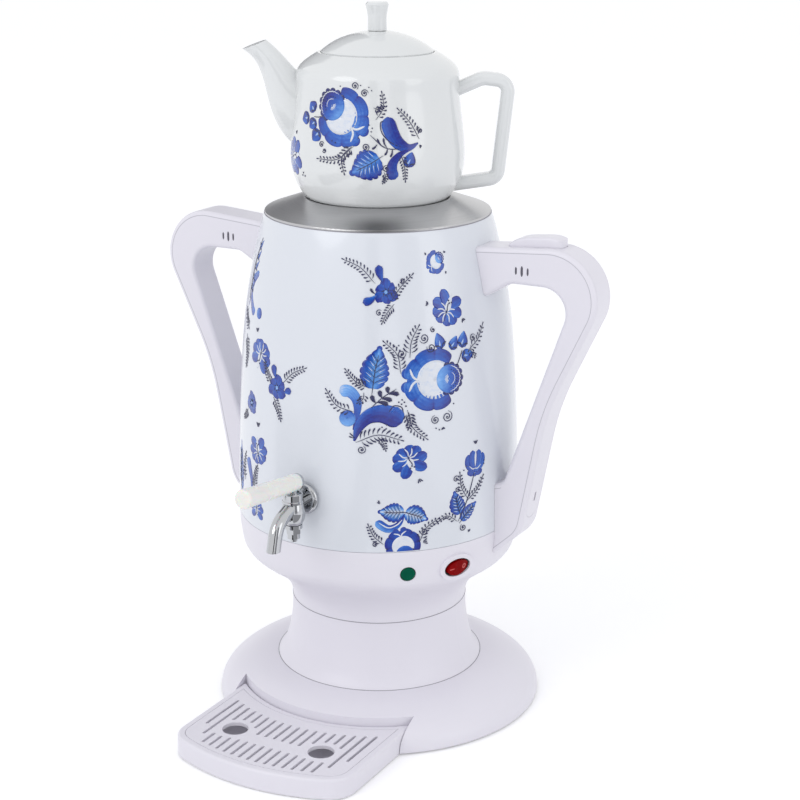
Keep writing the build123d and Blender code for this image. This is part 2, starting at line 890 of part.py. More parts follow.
def build_handle():
    """Hollow right handle, open on its outside for the cover strip."""
    core_keep = envelope(seat_gap + handle_wall)
    with BuildPart() as core:
        with BuildSketch(Plane.XZ):
            with BuildLine():
                handle_outline()
            make_face()
            offset(amount=-handle_wall)
        extrude(amount=cover_width / 2 - 1, both=True)
        add(cover_band(cover_width - 2, handle_wall + 1, 0))
        add(core_keep, mode=Mode.SUBTRACT)
        with BuildSketch(Plane.YZ):
            with Locations(*[(0, height) for height in handle_screw_heights]):
                Circle(handle_boss_radius)
        extrude(amount=body_radius + handle_boss_length, mode=Mode.SUBTRACT)
    with BuildPart() as handle:
        with BuildSketch(Plane.XZ):
            with BuildLine():
                handle_outline()
            make_face()
        extrude(amount=handle_width / 2, both=True)
        sides = handle.faces().filter_by(Axis.Y)
        outside = sides.edges().filter_by(lambda edge: edge.center().X > rim_radius + 8)
        fillet(outside, radius=handle_edge)
        cover_seat = cover_band(cover_width + 2 * cover_gap, cover_thickness + cover_gap, cover_gap)
        add(cover_seat, mode=Mode.SUBTRACT)
        add(core.part, mode=Mode.SUBTRACT)
        add(body_seat, mode=Mode.SUBTRACT)
        with BuildSketch(Plane.YZ):
            with Locations(*[(0, height) for height in handle_screw_heights]):
                Circle(screw_radius + running_gap)
        extrude(amount=body_radius + handle_boss_length - 2, mode=Mode.SUBTRACT)
        with BuildSketch(Plane.XZ.offset(handle_width / 2)):
            with Locations((handle_mark_x, handle_mark_height)):
                SlotOverall(6.0, 1.7, rotation=90)
            with Locations(
                (handle_mark_x - handle_mark_pitch, handle_mark_height),
                (handle_mark_x + handle_mark_pitch, handle_mark_height),
            ):
                SlotOverall(4.4, 1.4, rotation=90)
        extrude(amount=-handle_mark_depth, mode=Mode.SUBTRACT)
    return handle.part


def build_cover():
    """Cover strip of a handle, with the oval slot near its lower end."""
    with BuildPart() as cover:
        add(cover_band(cover_width, cover_thickness, 0))
        add(body_seat, mode=Mode.SUBTRACT)
        with BuildSketch(Plane.YZ.offset(body_radius)):
            with Locations((0, cover_end + cover_slot_rise)):
                SlotOverall(7.0, 2.4, rotation=90)
        extrude(amount=40, mode=Mode.SUBTRACT)
    return cover.part


handle_right = build_handle()
handle_right.label = "handle_right"
export_step(handle_right, "parts/handle_right.step")

handle_left = mirror(handle_right, about=Plane.YZ)
handle_left.label = "handle_left"
export_step(handle_left, "parts/handle_left.step")

plain_cover = build_cover()
handle_cover_left = mirror(plain_cover, about=Plane.YZ)
handle_cover_left.label = "handle_cover_left"
export_step(handle_cover_left, "parts/handle_cover_left.step")

handle_cover_right = plain_cover - thumb_window(button_gap)
handle_cover_right.label = "handle_cover_right"
export_step(handle_cover_right, "parts/handle_cover_right.step")

def shell_radius(height):
    """Outside radius of the painted shell at a height."""
    probe = Line((0, 0, height), (2 * body_radius, 0, height)) & body_solid
    return probe.length


screw_seats = [shell_radius(height) - sheet - handle_plate_depth for height in handle_screw_heights]

with BuildPart() as handle_plates:
    for height, seat in zip(handle_screw_heights, screw_seats):
        with BuildSketch(Plane.YZ.offset(seat)):
            with Locations((0, height)):
                RectangleRounded(handle_plate_size, handle_plate_size, 2)
                Circle(screw_radius + screw_clearance, mode=Mode.SUBTRACT)
        extrude(amount=handle_plate_depth + 3)
    add(shell_room(seat_gap), mode=Mode.INTERSECT)
    mirror(about=Plane.YZ)
handle_plates.part.label = "handle_plates"
export_step(handle_plates.part, "parts/handle_plates.step")

with BuildPart() as handle_screws:
    for height, seat in zip(handle_screw_heights, screw_seats):
        with BuildSketch(Plane.YZ.offset(seat)):
            with Locations((0, height)):
                Circle(screw_head_radius)
        extrude(amount=-screw_head_height)
        with BuildSketch(Plane.YZ.offset(seat)):
            with Locations((0, height)):
                Circle(screw_radius)
        extrude(amount=handle_plate_depth + sheet + handle_boss_length - 3)
    mirror(about=Plane.YZ)
handle_screws.part.label = "handle_screws"
export_step(handle_screws.part, "parts/handle_screws.step")

# Thumb button and its spring
top_slope = (handle_corner.Y - handle_top_start.Y) / (handle_corner.X - handle_top_start.X)
button_seat = handle_top_start.Y + top_slope * (button_start - handle_top_start.X)
button_middle = button_start + button_length / 2
flange_top = button_seat - cover_thickness - button_gap

with BuildPart() as thumb_button:
    with BuildSketch(Plane.XZ):
        with BuildLine():
            Spline(
                (button_start, button_seat + 0.8),
                (button_start + 8.0, button_seat + button_rise),
                (button_start + 21.0, button_seat + button_rise + 2.0),
                (button_start + button_length - 5.0, button_seat + button_rise + 2.4),
                (button_start + button_length, button_seat + button_rise + 0.8),
            )
            Polyline(
                (button_start + button_length, button_seat + button_rise + 0.8),
                (button_start + button_length, flange_top - 1),
                (button_start, flange_top - 1),
                (button_start, button_seat + 0.8),
            )
        make_face()
    extrude(amount=button_width / 2, both=True)
    fillet(thumb_button.edges().filter_by(GeomType.BSPLINE), radius=2.0)
    add(thumb_window(0), mode=Mode.INTERSECT)
    with BuildSketch(Plane.XY.offset(flange_top)):
        with Locations((button_middle, 0)):
            RectangleRounded(button_length + 2 * button_flange, button_width + 2 * button_flange, 3)
    extrude(amount=-button_flange_thickness)
thumb_button.part.label = "thumb_button"
export_step(thumb_button.part, "parts/thumb_button.step")

spring_bottom = handle_throat.Y + handle_wall + spring_wire_radius + seat_gap
spring_top = flange_top - button_flange_thickness - spring_wire_radius - seat_gap
with BuildPart() as button_spring:
    with BuildLine(Plane.XY.offset(spring_bottom)):
        coil = Helix(
            pitch=(spring_top - spring_bottom) / spring_turns,
            height=spring_top - spring_bottom,
            radius=spring_radius,
            center=(button_middle, 0, 0),
        )
    with BuildSketch(Plane(origin=coil @ 0, z_dir=coil % 0)):
        Circle(spring_wire_radius)
    sweep(is_frenet=True)
button_spring.part.label = "button_spring"
export_step(button_spring.part, "parts/button_spring.step")

# Tap
tap_seat = shell_radius(tap_height) + tap_seal_thickness
tap_axis_plane = Plane(origin=(0, -tap_reach, 0), x_dir=(1, 0, 0), z_dir=(0, -1, 0))
spout_plane = Plane(origin=(0, -tap_reach, 0), x_dir=(0, -1, 0), z_dir=(-1, 0, 0))
tap_bottom = tap_height - tap_depth
tap_top = tap_height + tap_collar_top

with BuildPart() as tap_flange:
    with BuildSketch(Plane.XZ.offset(tap_seat)):
        with Locations((0, tap_height)):
            Circle(tap_flange_radius)
    extrude(amount=tap_flange_thickness)
    fillet(tap_flange.faces().sort_by(Axis.Y)[0].edges(), radius=tap_flange_thickness - 0.7)
    with BuildSketch(Plane.XZ.offset(tap_seat)):
        with Locations((0, tap_height)):
            Circle(tap_pipe_radius + running_gap)
    extrude(amount=tap_flange_thickness, mode=Mode.SUBTRACT)
tap_flange.part.label = "tap_flange"
export_step(tap_flange.part, "parts/tap_flange.step")

with BuildPart() as tap_seals:
    with BuildSketch(Plane.XZ.offset(tap_seat)):
        with Locations((0, tap_height)):
            Circle(tap_flange_radius - 2)
            Circle(tap_pipe_radius + running_gap, mode=Mode.SUBTRACT)
    extrude(amount=-4)
    add(body_seat, mode=Mode.SUBTRACT)
    with BuildSketch(Plane.XZ.offset(tank_radius + 2)):
        with Locations((0, tap_height)):
            Circle(tap_pipe_radius + 4)
            Circle(tap_pipe_radius + running_gap, mode=Mode.SUBTRACT)
    extrude(amount=-4)
    with BuildSketch(Plane.XY.offset(bowl_top)):
        Circle(tank_radius + seat_gap)
    extrude(amount=shell_height, mode=Mode.SUBTRACT)
tap_seals.part.label = "tap_seals"
export_step(tap_seals.part, "parts/tap_seals.step")

tap_nut_face = sqrt((tank_radius - sheet) ** 2 - tap_nut_radius ** 2) - 2 * seat_gap
with BuildPart() as tap_locknut:
    with BuildSketch(Plane.XZ.offset(tap_nut_face)):
        with Locations((0, tap_height)):
            RegularPolygon(tap_nut_radius, 6)
            Circle(tap_pipe_radius + running_gap, mode=Mode.SUBTRACT)
    extrude(amount=-tap_nut_thickness)
tap_locknut.part.label = "tap_locknut"
export_step(tap_locknut.part, "parts/tap_locknut.step")


def spout_path():
    """Centre line of the tap's spout, out over the tray and down."""
    FilletPolyline(
        (0, tap_height - 0.5),
        (spout_stand_off - 4.5, tap_height - 8.0),
        (spout_stand_off + 0.5, tap_height - tap_drop - 1.5),
        radius=15,
    )


with BuildPart() as spout_bore:
    with BuildLine(spout_plane) as bore_path:
        spout_path()
    with BuildSketch(Plane(origin=bore_path.line @ 0, z_dir=bore_path.line % 0)):
        Circle(spout_bore_radius)
    sweep()

with BuildPart() as tap_body:
    with BuildSketch(Plane.XZ.offset(tap_nut_face - tap_nut_thickness - 1)):
        with Locations((0, tap_height)):
            Circle(tap_pipe_radius)
    extrude(amount=tap_reach - tap_nut_face + tap_nut_thickness + 1)
    with BuildSketch(tap_axis_plane):
        with BuildLine():
            Polyline((0, tap_bottom), (tap_bulb_radius - 2.4, tap_bottom))
            Spline(
                (tap_bulb_radius - 2.4, tap_bottom),
                (tap_bulb_radius, tap_height - 4.4),
                (tap_collar_radius, tap_height + 1.2),
                tangents=[(0.8, 1), (-0.3, 1)],
            )
            Polyline(
                (tap_collar_radius, tap_height + 1.2),
                (tap_collar_radius + 0.5, tap_height + 1.8),
                (tap_collar_radius + 0.5, tap_height + 3.0),
                (tap_collar_radius, tap_height + 3.4),
                (tap_collar_radius, tap_top - 0.6),
                (tap_collar_radius - 0.6, tap_top),
                (0, tap_top),
                (0, tap_bottom),
            )
        make_face()
    revolve(axis=Axis((0, -tap_reach, 0), (0, 0, 1)))
    with BuildLine(spout_plane) as spout_line:
        spout_path()
    with BuildSketch(Plane(origin=spout_line.line @ 0, z_dir=spout_line.line % 0)):
        Circle(spout_outer_radius)
    sweep()
    split(bisect_by=Plane.XY.offset(tap_height - tap_drop), keep=Keep.TOP)
    add(spout_bore.part, mode=Mode.SUBTRACT)
    with BuildSketch(Plane.XZ.offset(tap_nut_face - tap_nut_thickness - 1)):
        with Locations((0, tap_height)):
            Circle(tap_water_radius)
    extrude(amount=tap_reach - tap_nut_face + tap_nut_thickness + 1, mode=Mode.SUBTRACT)
    with BuildSketch(Plane.XY.offset(tap_bottom)):
        with Locations((0, -tap_reach)):
            Circle(tap_plug_radius + running_gap)
    extrude(amount=tap_top - tap_bottom, mode=Mode.SUBTRACT)
tap_body.part.label = "tap_body"
export_step(tap_body.part, "parts/tap_body.step")

lever_plane = Plane(
    origin=(0, -tap_reach, tap_height + lever_lift),
    x_dir=(1, 0, 0),
    z_dir=(0, -cos(radians(lever_tilt)), sin(radians(lever_tilt))),
)

with BuildPart() as tap_plug:
    with BuildSketch(lever_plane.offset(-lever_back)):
        Circle(lever_root_radius)
    extrude(amount=-lever_cap_thickness)
    fillet(tap_plug.faces().sort_by(Axis.Y)[-1].edges(), radius=1.0)
    with BuildSketch(Plane.XY.offset(tap_bottom)):
        with Locations((0, -tap_reach)):
            Circle(tap_plug_radius)
    extrude(amount=tap_top - tap_bottom + 0.3)
    with BuildSketch(Plane.XY.offset(tap_bottom)):
        with Locations((0, -tap_reach)):
            Circle(lower_stem_radius)
    extrude(amount=tap_depth - tap_drop - 1.0)
    with BuildSketch(Plane.XY.offset(tap_top)):
        with Locations((0, -tap_reach)):
            Circle(stem_radius)
    extrude(amount=lever_lift - tap_collar_top)
    with BuildSketch(lever_plane.offset(-lever_back - 1)):
        Circle(lever_core_radius)
    extrude(amount=lever_back + 1 + lever_core_length)
    with BuildSketch(Plane.YZ):
        with Locations((-tap_reach, tap_height - 0.5)):
            Circle(tap_water_radius)
    extrude(amount=tap_bulb_radius, both=True, mode=Mode.SUBTRACT)
tap_plug.part.label = "tap_plug"
export_step(tap_plug.part, "parts/tap_plug.step")

with BuildPart() as tap_lever:
    with BuildSketch(lever_plane.offset(-lever_back)):
        Circle(lever_root_radius)
    with BuildSketch(lever_plane.offset(lever_length - lever_back)):
        Circle(lever_tip_radius)
    loft()
    fillet(tap_lever.faces().sort_by(Axis.Y)[0].edges(), radius=1.5)
    with BuildSketch(lever_plane.offset(-lever_back)):
        Circle(lever_core_radius + running_gap)
    extrude(amount=lever_back + lever_core_length + seat_gap, mode=Mode.SUBTRACT)
    with BuildSketch(Plane.XY.offset(tap_height + lever_lift)):
        with Locations((0, -tap_reach)):
            Circle(stem_radius + running_gap)
    extrude(amount=-lever_tip_radius - 3, mode=Mode.SUBTRACT)
tap_lever.part.label = "tap_lever"
export_step(tap_lever.part, "parts/tap_lever.step")

with BuildPart() as tap_washer:
    with BuildSketch(Plane.XY.offset(tap_bottom - seat_gap)):
        with Locations((0, -tap_reach)):
            Circle(washer_radius)
            Circle(lower_stem_radius + running_gap, mode=Mode.SUBTRACT)
    extrude(amount=-washer_thickness)
tap_washer.part.label = "tap_washer"
export_step(tap_washer.part, "parts/tap_washer.step")

end_nut_top = tap_bottom - seat_gap - washer_thickness
with BuildPart() as tap_nut:
    with BuildSketch(Plane.XY.offset(end_nut_top)):
        with Locations((0, -tap_reach)):
            RegularPolygon(end_nut_radius, 6)
    extrude(amount=-end_nut_height)
    with BuildSketch(Plane.XY.offset(end_nut_top - end_nut_height)):
        with Locations((0, -tap_reach)):
            Circle(end_nut_radius - 1.0)
    extrude(amount=-end_nut_height)
    with BuildSketch(Plane.XY.offset(tap_bottom)):
        with Locations((0, -tap_reach)):
            Circle(lower_stem_radius + running_gap)
    extrude(amount=-20, mode=Mode.SUBTRACT)
tap_nut.part.label = "tap_nut"
export_step(tap_nut.part, "parts/tap_nut.step")

# Drip tray and grille
def tray_face(inset):
    """Outline of the tray, drawn in by an inset."""
    half = tray_width / 2 - inset
    reach = tray_reach - inset
    radius = tray_front_radius - inset
    side_end = reach - radius + sqrt(radius ** 2 - half ** 2)
    with BuildSketch() as face:
        with BuildLine():
            Line((-half, 0), (-half, -side_end))
            ThreePointArc((-half, -side_end), (0, -reach), (half, -side_end))
            Polyline((half, -side_end), (half, 0), (-half, 0))
        make_face()
        fillet(face.vertices().group_by(Axis.Y)[0], radius=tray_corner_radius - inset)
        Circle(notch_radius + tray_gap + inset, mode=Mode.SUBTRACT)
    return face.sketch.face()


grille_bottom = tray_height - grille_thickness

with BuildPart() as drip_tray:
    with BuildSketch(Plane.XY.offset(tray_bottom)):
        add(tray_face(0))
    extrude(amount=tray_height - tray_bottom)
    fillet(drip_tray.faces().sort_by(Axis.Z)[-1].edges(), radius=2.0)
    with BuildSketch(Plane.XY.offset(tray_bottom + tray_floor)):
        add(tray_face(tray_wall))
    extrude(amount=grille_bottom - 2.5 - tray_bottom - tray_floor, mode=Mode.SUBTRACT)
    with BuildSketch(Plane.XY.offset(tray_bottom + tray_floor)):
        add(tray_face(grille_margin + grille_ledge))
    extrude(amount=tray_height, mode=Mode.SUBTRACT)
    with BuildSketch(Plane.XY.offset(grille_bottom)):
        add(tray_face(grille_margin))
    extrude(amount=tray_height, mode=Mode.SUBTRACT)
    with BuildSketch():
        with Locations((0, -notch_radius - tray_foot_setback)):
            with GridLocations(tray_foot_spread_x, tray_foot_spread_y, 2, 2):
                Circle(tray_foot_radius)
    extrude(amount=tray_bottom)
drip_tray.part.label = "drip_tray"
export_step(drip_tray.part, "parts/drip_tray.step")


finger_hole_reach = notch_radius + finger_hole_setback


def slot_spans(across):
    """Stretches of one grille slot, broken at the middle band and at the finger holes."""
    back = sqrt((notch_radius + tray_gap + slot_land + grille_margin) ** 2 - across ** 2)
    half = tray_width / 2 - grille_margin
    front = tray_reach - tray_front_radius + sqrt(tray_front_radius ** 2 - across ** 2)
    front -= grille_margin + slot_front_land
    corner = max(0.0, abs(across) - half + tray_corner_radius)
    front -= 1.6 * corner
    if abs(across) > half - slot_land - grille_margin:
        return [(back, front)]
    aside = abs(abs(across) - finger_hole_offset)
    clear = finger_hole_radius + finger_hole_land
    break_back = notch_radius + slot_middle_setback - slot_end_margin
    break_front = notch_radius + slot_middle_setback + slot_end_margin
    if aside < clear:
        half_break = sqrt(clear ** 2 - aside ** 2)
        break_back = min(break_back, finger_hole_reach - half_break)
        break_front = max(break_front, finger_hole_reach + half_break)
    return [(back, break_back), (break_front, front)]


with BuildPart() as drip_grille:
    with BuildSketch(Plane.XY.offset(grille_bottom)):
        add(tray_face(grille_margin + seam))
        with Locations((-finger_hole_offset, -finger_hole_reach), (finger_hole_offset, -finger_hole_reach)):
            Circle(finger_hole_radius, mode=Mode.SUBTRACT)
        for column in range(slot_count):
            column_x = (column - (slot_count - 1) / 2) * slot_pitch
            for start, end in slot_spans(column_x):
                with Locations((column_x, -(start + end) / 2)):
                    SlotOverall(end - start, slot_width, rotation=90, mode=Mode.SUBTRACT)
    extrude(amount=grille_thickness)
drip_grille.part.label = "drip_grille"
export_step(drip_grille.part, "parts/drip_grille.step")

# Boiler lid
seat_level = lid_crest - seat_recess_depth
seat_recess_radius = pot_foot_radius + seat_play
lip_radius = rim_radius - lid_overhang
lip_level = shell_top + lid_lip_height + seam
cone_slope = (lid_crest - lip_level) / (lip_radius - seat_recess_radius - seat_rim_width)


def cone_level(radius):
    """Height of the lid's sloping top at a radius."""
    return lip_level + (lip_radius - radius) * cone_slope


with BuildPart() as boiler_lid:
    with BuildSketch(Plane.XZ):
        with BuildLine():
            FilletPolyline(
                (steam_hole_radius, seat_level),
                (seat_recess_radius, seat_level),
                (seat_recess_radius + seat_rim_width, lid_crest),
                (lip_radius, lip_level),
                (lip_radius, shell_top + seam),
                radius=[1.2, 1.6, 0.9],
            )
            offset(amount=sheet, side=Side.RIGHT)
        make_face()
    revolve(axis=Axis.Z)
boiler_lid.part.label = "boiler_lid"
export_step(boiler_lid.part, "parts/boiler_lid.step")

skirt_radius = tank_radius - sheet - lid_skirt_gap
rest_radius = rim_radius - sheet - lid_rest_inset
lid_underside = cone_level(rest_radius) - sheet * sqrt(1 + cone_slope ** 2) - seat_gap
with BuildPart() as lid_ring:
    add(ring(skirt_radius, skirt_radius - sheet, tank_top - lid_skirt_depth, tank_top + sheet))
    add(ring(rest_radius, skirt_radius - sheet, tank_top, tank_top + sheet))
    add(ring(rest_radius, rest_radius - sheet, tank_top, lid_underside))
lid_ring.part.label = "lid_ring"
export_step(lid_ring.part, "parts/lid_ring.step")

# Teapot
pot_base = seat_level
pot_rim = lid_crest + pot_height
spout_side = Vector(-cos(radians(pot_turn)), -sin(radians(pot_turn)), 0)
pot_plane = Plane(
    origin=(0, 0, 0),
    x_dir=(cos(radians(pot_turn)), sin(radians(pot_turn)), 0),
    z_dir=(sin(radians(pot_turn)), -cos(radians(pot_turn)), 0),
)
pot_heel_radius = pot_foot_radius + pot_heel_flare
pot_rim_radius = pot_mouth_radius + 2.2
mouth_radius = pot_mouth_radius - pot_gallery_width


def pot_level(share):
    """Height at a share of the pot's height over the lid's crest."""
    return lid_crest + share * pot_height


with BuildPart() as pot_solid:
    with BuildSketch(Plane.XZ):
        with BuildLine():
            Polyline((0, pot_base), (pot_foot_radius, pot_base), (pot_heel_radius, lid_crest + 0.2))
            Spline(
                (pot_heel_radius, lid_crest + 0.2),
                (pot_belly_radius - 1.6, pot_level(0.146)),
                (pot_belly_radius, pot_level(0.377)),
                (pot_belly_radius - 3.8, pot_level(0.8)),
                (pot_rim_radius, pot_rim),
                tangents=[(0.9, 1), (-1, 0.55)],
            )
            Polyline((pot_rim_radius, pot_rim), (0, pot_rim), (0, pot_base))
        make_face()
    revolve(axis=Axis.Z)

pot_inner_floor = pot_base + pot_floor
pot_inner_top = pot_rim - pot_wall - 1.0
with BuildPart() as pot_cavity:
    with BuildSketch(Plane.XZ):
        with BuildLine():
            Spline(
                (pot_heel_radius - pot_wall, pot_inner_floor),
                (pot_belly_radius - 1.6 - pot_wall, pot_level(0.157)),
                (pot_belly_radius - pot_wall, pot_level(0.377)),
                (pot_belly_radius - 3.2 - pot_wall, pot_level(0.758)),
                (mouth_radius, pot_inner_top),
                tangents=[(0.9, 1), (-1, 0.35)],
            )
            Polyline(
                (mouth_radius, pot_inner_top),
                (0, pot_inner_top),
                (0, pot_inner_floor),
                (pot_heel_radius - pot_wall, pot_inner_floor),
            )
        make_face()
    revolve(axis=Axis.Z)

spout_stations = [
    ((-11.2, 0.565), (-1.0, 0.12), 25.0, 15.0),
    ((1.3, 0.685), (-0.87, 0.49), 17.6, 12.0),
    ((8.4, 0.843), (-0.72, 0.69), 11.4, 9.6),
    ((23.1, 1.049), (-0.35, 0.94), 8.4, 7.6),
]


def spout_loft(thinner, start, beyond):
    """Teapot spout, or its channel when made thinner and run past the mouth."""
    with BuildPart() as spout:
        for index, (place, direction, long_radius, short_radius) in enumerate(spout_stations[start:]):
            foot = Vector(-pot_belly_radius - place[0], pot_level(place[1]), 0)
            centre = pot_plane.from_local_coords(foot)
            along = pot_plane.x_dir * direction[0] + Vector(0, 0, direction[1])
            station = Plane(origin=centre, x_dir=pot_plane.z_dir, z_dir=along)
            last = index == len(spout_stations[start:]) - 1
            with BuildSketch(station.offset(beyond if last else 0)):
                Ellipse(short_radius - thinner, long_radius - thinner)
        loft()
    return spout.part


strainer_plane = Plane(
    origin=pot_plane.from_local_coords(Vector(10 - pot_belly_radius, pot_level(0.617), 0)),
    x_dir=pot_plane.z_dir,
    z_dir=spout_side,
)

with BuildPart() as teapot:
    add(pot_solid.part)
    add(spout_loft(0, 0, 0))
    with BuildLine(pot_plane) as handle_path:
        FilletPolyline(
            (pot_belly_radius - 12.2, pot_level(0.711)),
            (pot_belly_radius + 11.8, pot_level(0.818)),
            (pot_belly_radius + 29.3, pot_level(0.795)),
            (pot_belly_radius + 22.3, pot_level(0.119)),
            (pot_belly_radius - 12.2, pot_level(0.069)),
            radius=[12, 8, 7],
        )
    with BuildSketch(Plane(origin=handle_path.line @ 0, x_dir=pot_plane.z_dir, z_dir=handle_path.line % 0)):
        RectangleRounded(pot_handle_width, pot_handle_thickness, 3.6)
    sweep()
    add(pot_cavity.part, mode=Mode.SUBTRACT)
    add(spout_loft(spout_wall, 1, 1.0), mode=Mode.SUBTRACT)
    with BuildSketch(strainer_plane):
        with PolarLocations(strainer_circle, 6):
            Circle(strainer_hole_radius)
        Circle(strainer_hole_radius)
    extrude(amount=16, mode=Mode.SUBTRACT)
    with BuildSketch(Plane.XY.offset(pot_rim - pot_gallery_depth / 2)):
        Circle(pot_mouth_radius + pot_lid_gap)
    extrude(amount=pot_gallery_depth, mode=Mode.SUBTRACT)
    with BuildSketch(Plane.XY.offset(pot_inner_top - 1.0)):
        Circle(mouth_radius)
    extrude(amount=pot_wall + 3.0, mode=Mode.SUBTRACT)
teapot.part.label = "teapot"
export_step(teapot.part, "parts/teapot.step")

lid_seat = pot_rim - pot_gallery_depth / 2
lid_top = pot_rim + lid_dome_height
lid_skirt_outer = mouth_radius - pot_lid_gap
lid_skirt_inner = lid_skirt_outer - pot_lid_thickness
lid_inner_edge = lid_seat + 1.5 * pot_lid_thickness
with BuildPart() as teapot_lid:
    with BuildSketch(Plane.XZ):
        with BuildLine():
            Spline(
                (pot_mouth_radius, pot_rim + 0.8),
                (pot_mouth_radius - 13.4, lid_top - 4.8),
                (0, lid_top),
                tangents=[(-0.75, 0.66), (-1, 0)],
            )
            Line((0, lid_top), (0, lid_top - pot_lid_thickness))
            Spline(
                (0, lid_top - pot_lid_thickness),
                (pot_mouth_radius - 16.0, lid_top - 4.0 - pot_lid_thickness),
                (lid_skirt_inner, lid_inner_edge),
                tangents=[(1, 0), (0.75, -0.66)],
            )
            Polyline(
                (lid_skirt_inner, lid_inner_edge),
                (lid_skirt_inner, lid_seat - pot_lid_skirt),
                (lid_skirt_outer, lid_seat - pot_lid_skirt),
                (lid_skirt_outer, lid_seat),
                (pot_mouth_radius, lid_seat),
                (pot_mouth_radius, pot_rim + 0.8),
            )
        make_face()
    revolve(axis=Axis.Z)
    with BuildSketch(Plane.XY.offset(lid_top + 1)):
        Circle(screw_radius + screw_clearance)
    extrude(amount=-8, mode=Mode.SUBTRACT)
    with BuildSketch(Plane.XY.offset(lid_top - pot_lid_thickness)):
        Circle(screw_head_radius + screw_clearance)
    extrude(amount=-2, mode=Mode.SUBTRACT)
teapot_lid.part.label = "teapot_lid"
export_step(teapot_lid.part, "parts/teapot_lid.step")

knob_foot = lid_top - 0.4
with BuildPart() as lid_knob:
    with BuildSketch(Plane.XZ):
        with BuildLine():
            Polyline((0, knob_foot), (knob_radius, knob_foot), (knob_radius, lid_top + 1))
            Spline(
                (knob_radius, lid_top + 1),
                (knob_radius, lid_top + knob_height * 0.5),
                (knob_top_radius, lid_top + knob_height - 1.6),
                tangents=[(0, 1), (0.2, 1)],
            )
            Polyline(
                (knob_top_radius, lid_top + knob_height - 1.6),
                (knob_top_radius - 1.2, lid_top + knob_height),
                (0, lid_top + knob_height),
                (0, knob_foot),
            )
        make_face()
    revolve(axis=Axis.Z)
    with BuildSketch(Plane.XY.offset(knob_foot)):
        Circle(screw_radius + running_gap)
    extrude(amount=10, mode=Mode.SUBTRACT)
    with BuildSketch(Plane.XY.offset(knob_foot - 3)):
        Circle(knob_radius + 1)
    extrude(amount=3.4, mode=Mode.SUBTRACT)
lid_knob.part.label = "lid_knob"
export_step(lid_knob.part, "parts/lid_knob.step")

with BuildPart() as knob_screw:
    with BuildSketch(Plane.XY.offset(lid_top - pot_lid_thickness)):
        Circle(screw_head_radius)
    extrude(amount=-screw_head_height)
    with BuildSketch(Plane.XY.offset(lid_top - pot_lid_thickness)):
        Circle(screw_radius)
    extrude(amount=pot_lid_thickness + 8)
knob_screw.part.label = "knob_screw"
export_step(knob_screw.part, "parts/knob_screw.step")
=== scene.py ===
"""Looks of the electric tea maker: finishes, blue flower ornament, small marks and the studio."""

from math import cos, pi, radians, sin, sqrt

import bmesh
import bpy
from bpy.props import FloatProperty, FloatVectorProperty, PointerProperty
from bpy.types import Operator, Panel, PropertyGroup
from mathutils import Matrix, Vector
from mathutils.bvhtree import BVHTree


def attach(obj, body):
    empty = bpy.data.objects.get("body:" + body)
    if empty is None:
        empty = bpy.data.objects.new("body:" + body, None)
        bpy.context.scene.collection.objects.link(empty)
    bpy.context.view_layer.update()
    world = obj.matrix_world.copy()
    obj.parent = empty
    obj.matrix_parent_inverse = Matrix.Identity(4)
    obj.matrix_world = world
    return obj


bl_info = {
    "name": "Electric Tea Maker",
    "version": (1, 0, 0),
    "blender": (4, 5, 0),
    "location": "3D View > Sidebar > Tea Maker",
    "description": "Finishes and ornament of an electric tea maker with its teapot",
    "category": "Object",
}

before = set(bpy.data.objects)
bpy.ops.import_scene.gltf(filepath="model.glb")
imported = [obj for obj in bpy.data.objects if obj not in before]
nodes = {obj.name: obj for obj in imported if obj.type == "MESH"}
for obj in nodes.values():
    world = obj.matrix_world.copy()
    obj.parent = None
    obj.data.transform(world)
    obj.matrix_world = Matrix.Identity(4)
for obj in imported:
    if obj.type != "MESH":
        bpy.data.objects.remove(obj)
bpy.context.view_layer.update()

MM = 0.001
UP = Vector((0.0, 0.0, 1.0))

# Distances under which two points are one, and are at the same level
WELD = 0.001 * MM
NEAR = 0.05 * MM

# Distance from the boiler's axis that is outside every turned part
OUTSIDE = 300 * MM

# The ornament's sheets, in millimetres: width of one degree, lowest and highest level that is measured, and
# the level below which the shell's ornament is cut off
BODY_MM_PER_DEGREE = 1.65
BODY_LEVELS = (141, 350)
BODY_CUT = 141.3
POT_MM_PER_DEGREE = 1.01
POT_LEVELS = (366, 450)

# Film level of thin lines; broad strokes have to stay below it
LINES = 46
LINE_INK = 0.08


def number(name, description, default, **values):
    """A number of the panel, with its unit or subtype where it has one."""
    return FloatProperty(name=name, description=description, default=default, **values)


def distance(name, description, millimetres):
    return number(name, description, millimetres * MM, unit="LENGTH")


def bearing(name, description, degrees):
    return number(name, description, radians(degrees), subtype="ANGLE")


def swatch(name, description, default):
    """A linear colour that the panel shows as a swatch."""
    return FloatVectorProperty(
        name=name, description=description, default=default, subtype="COLOR", size=3, min=0.0, max=1.0
    )


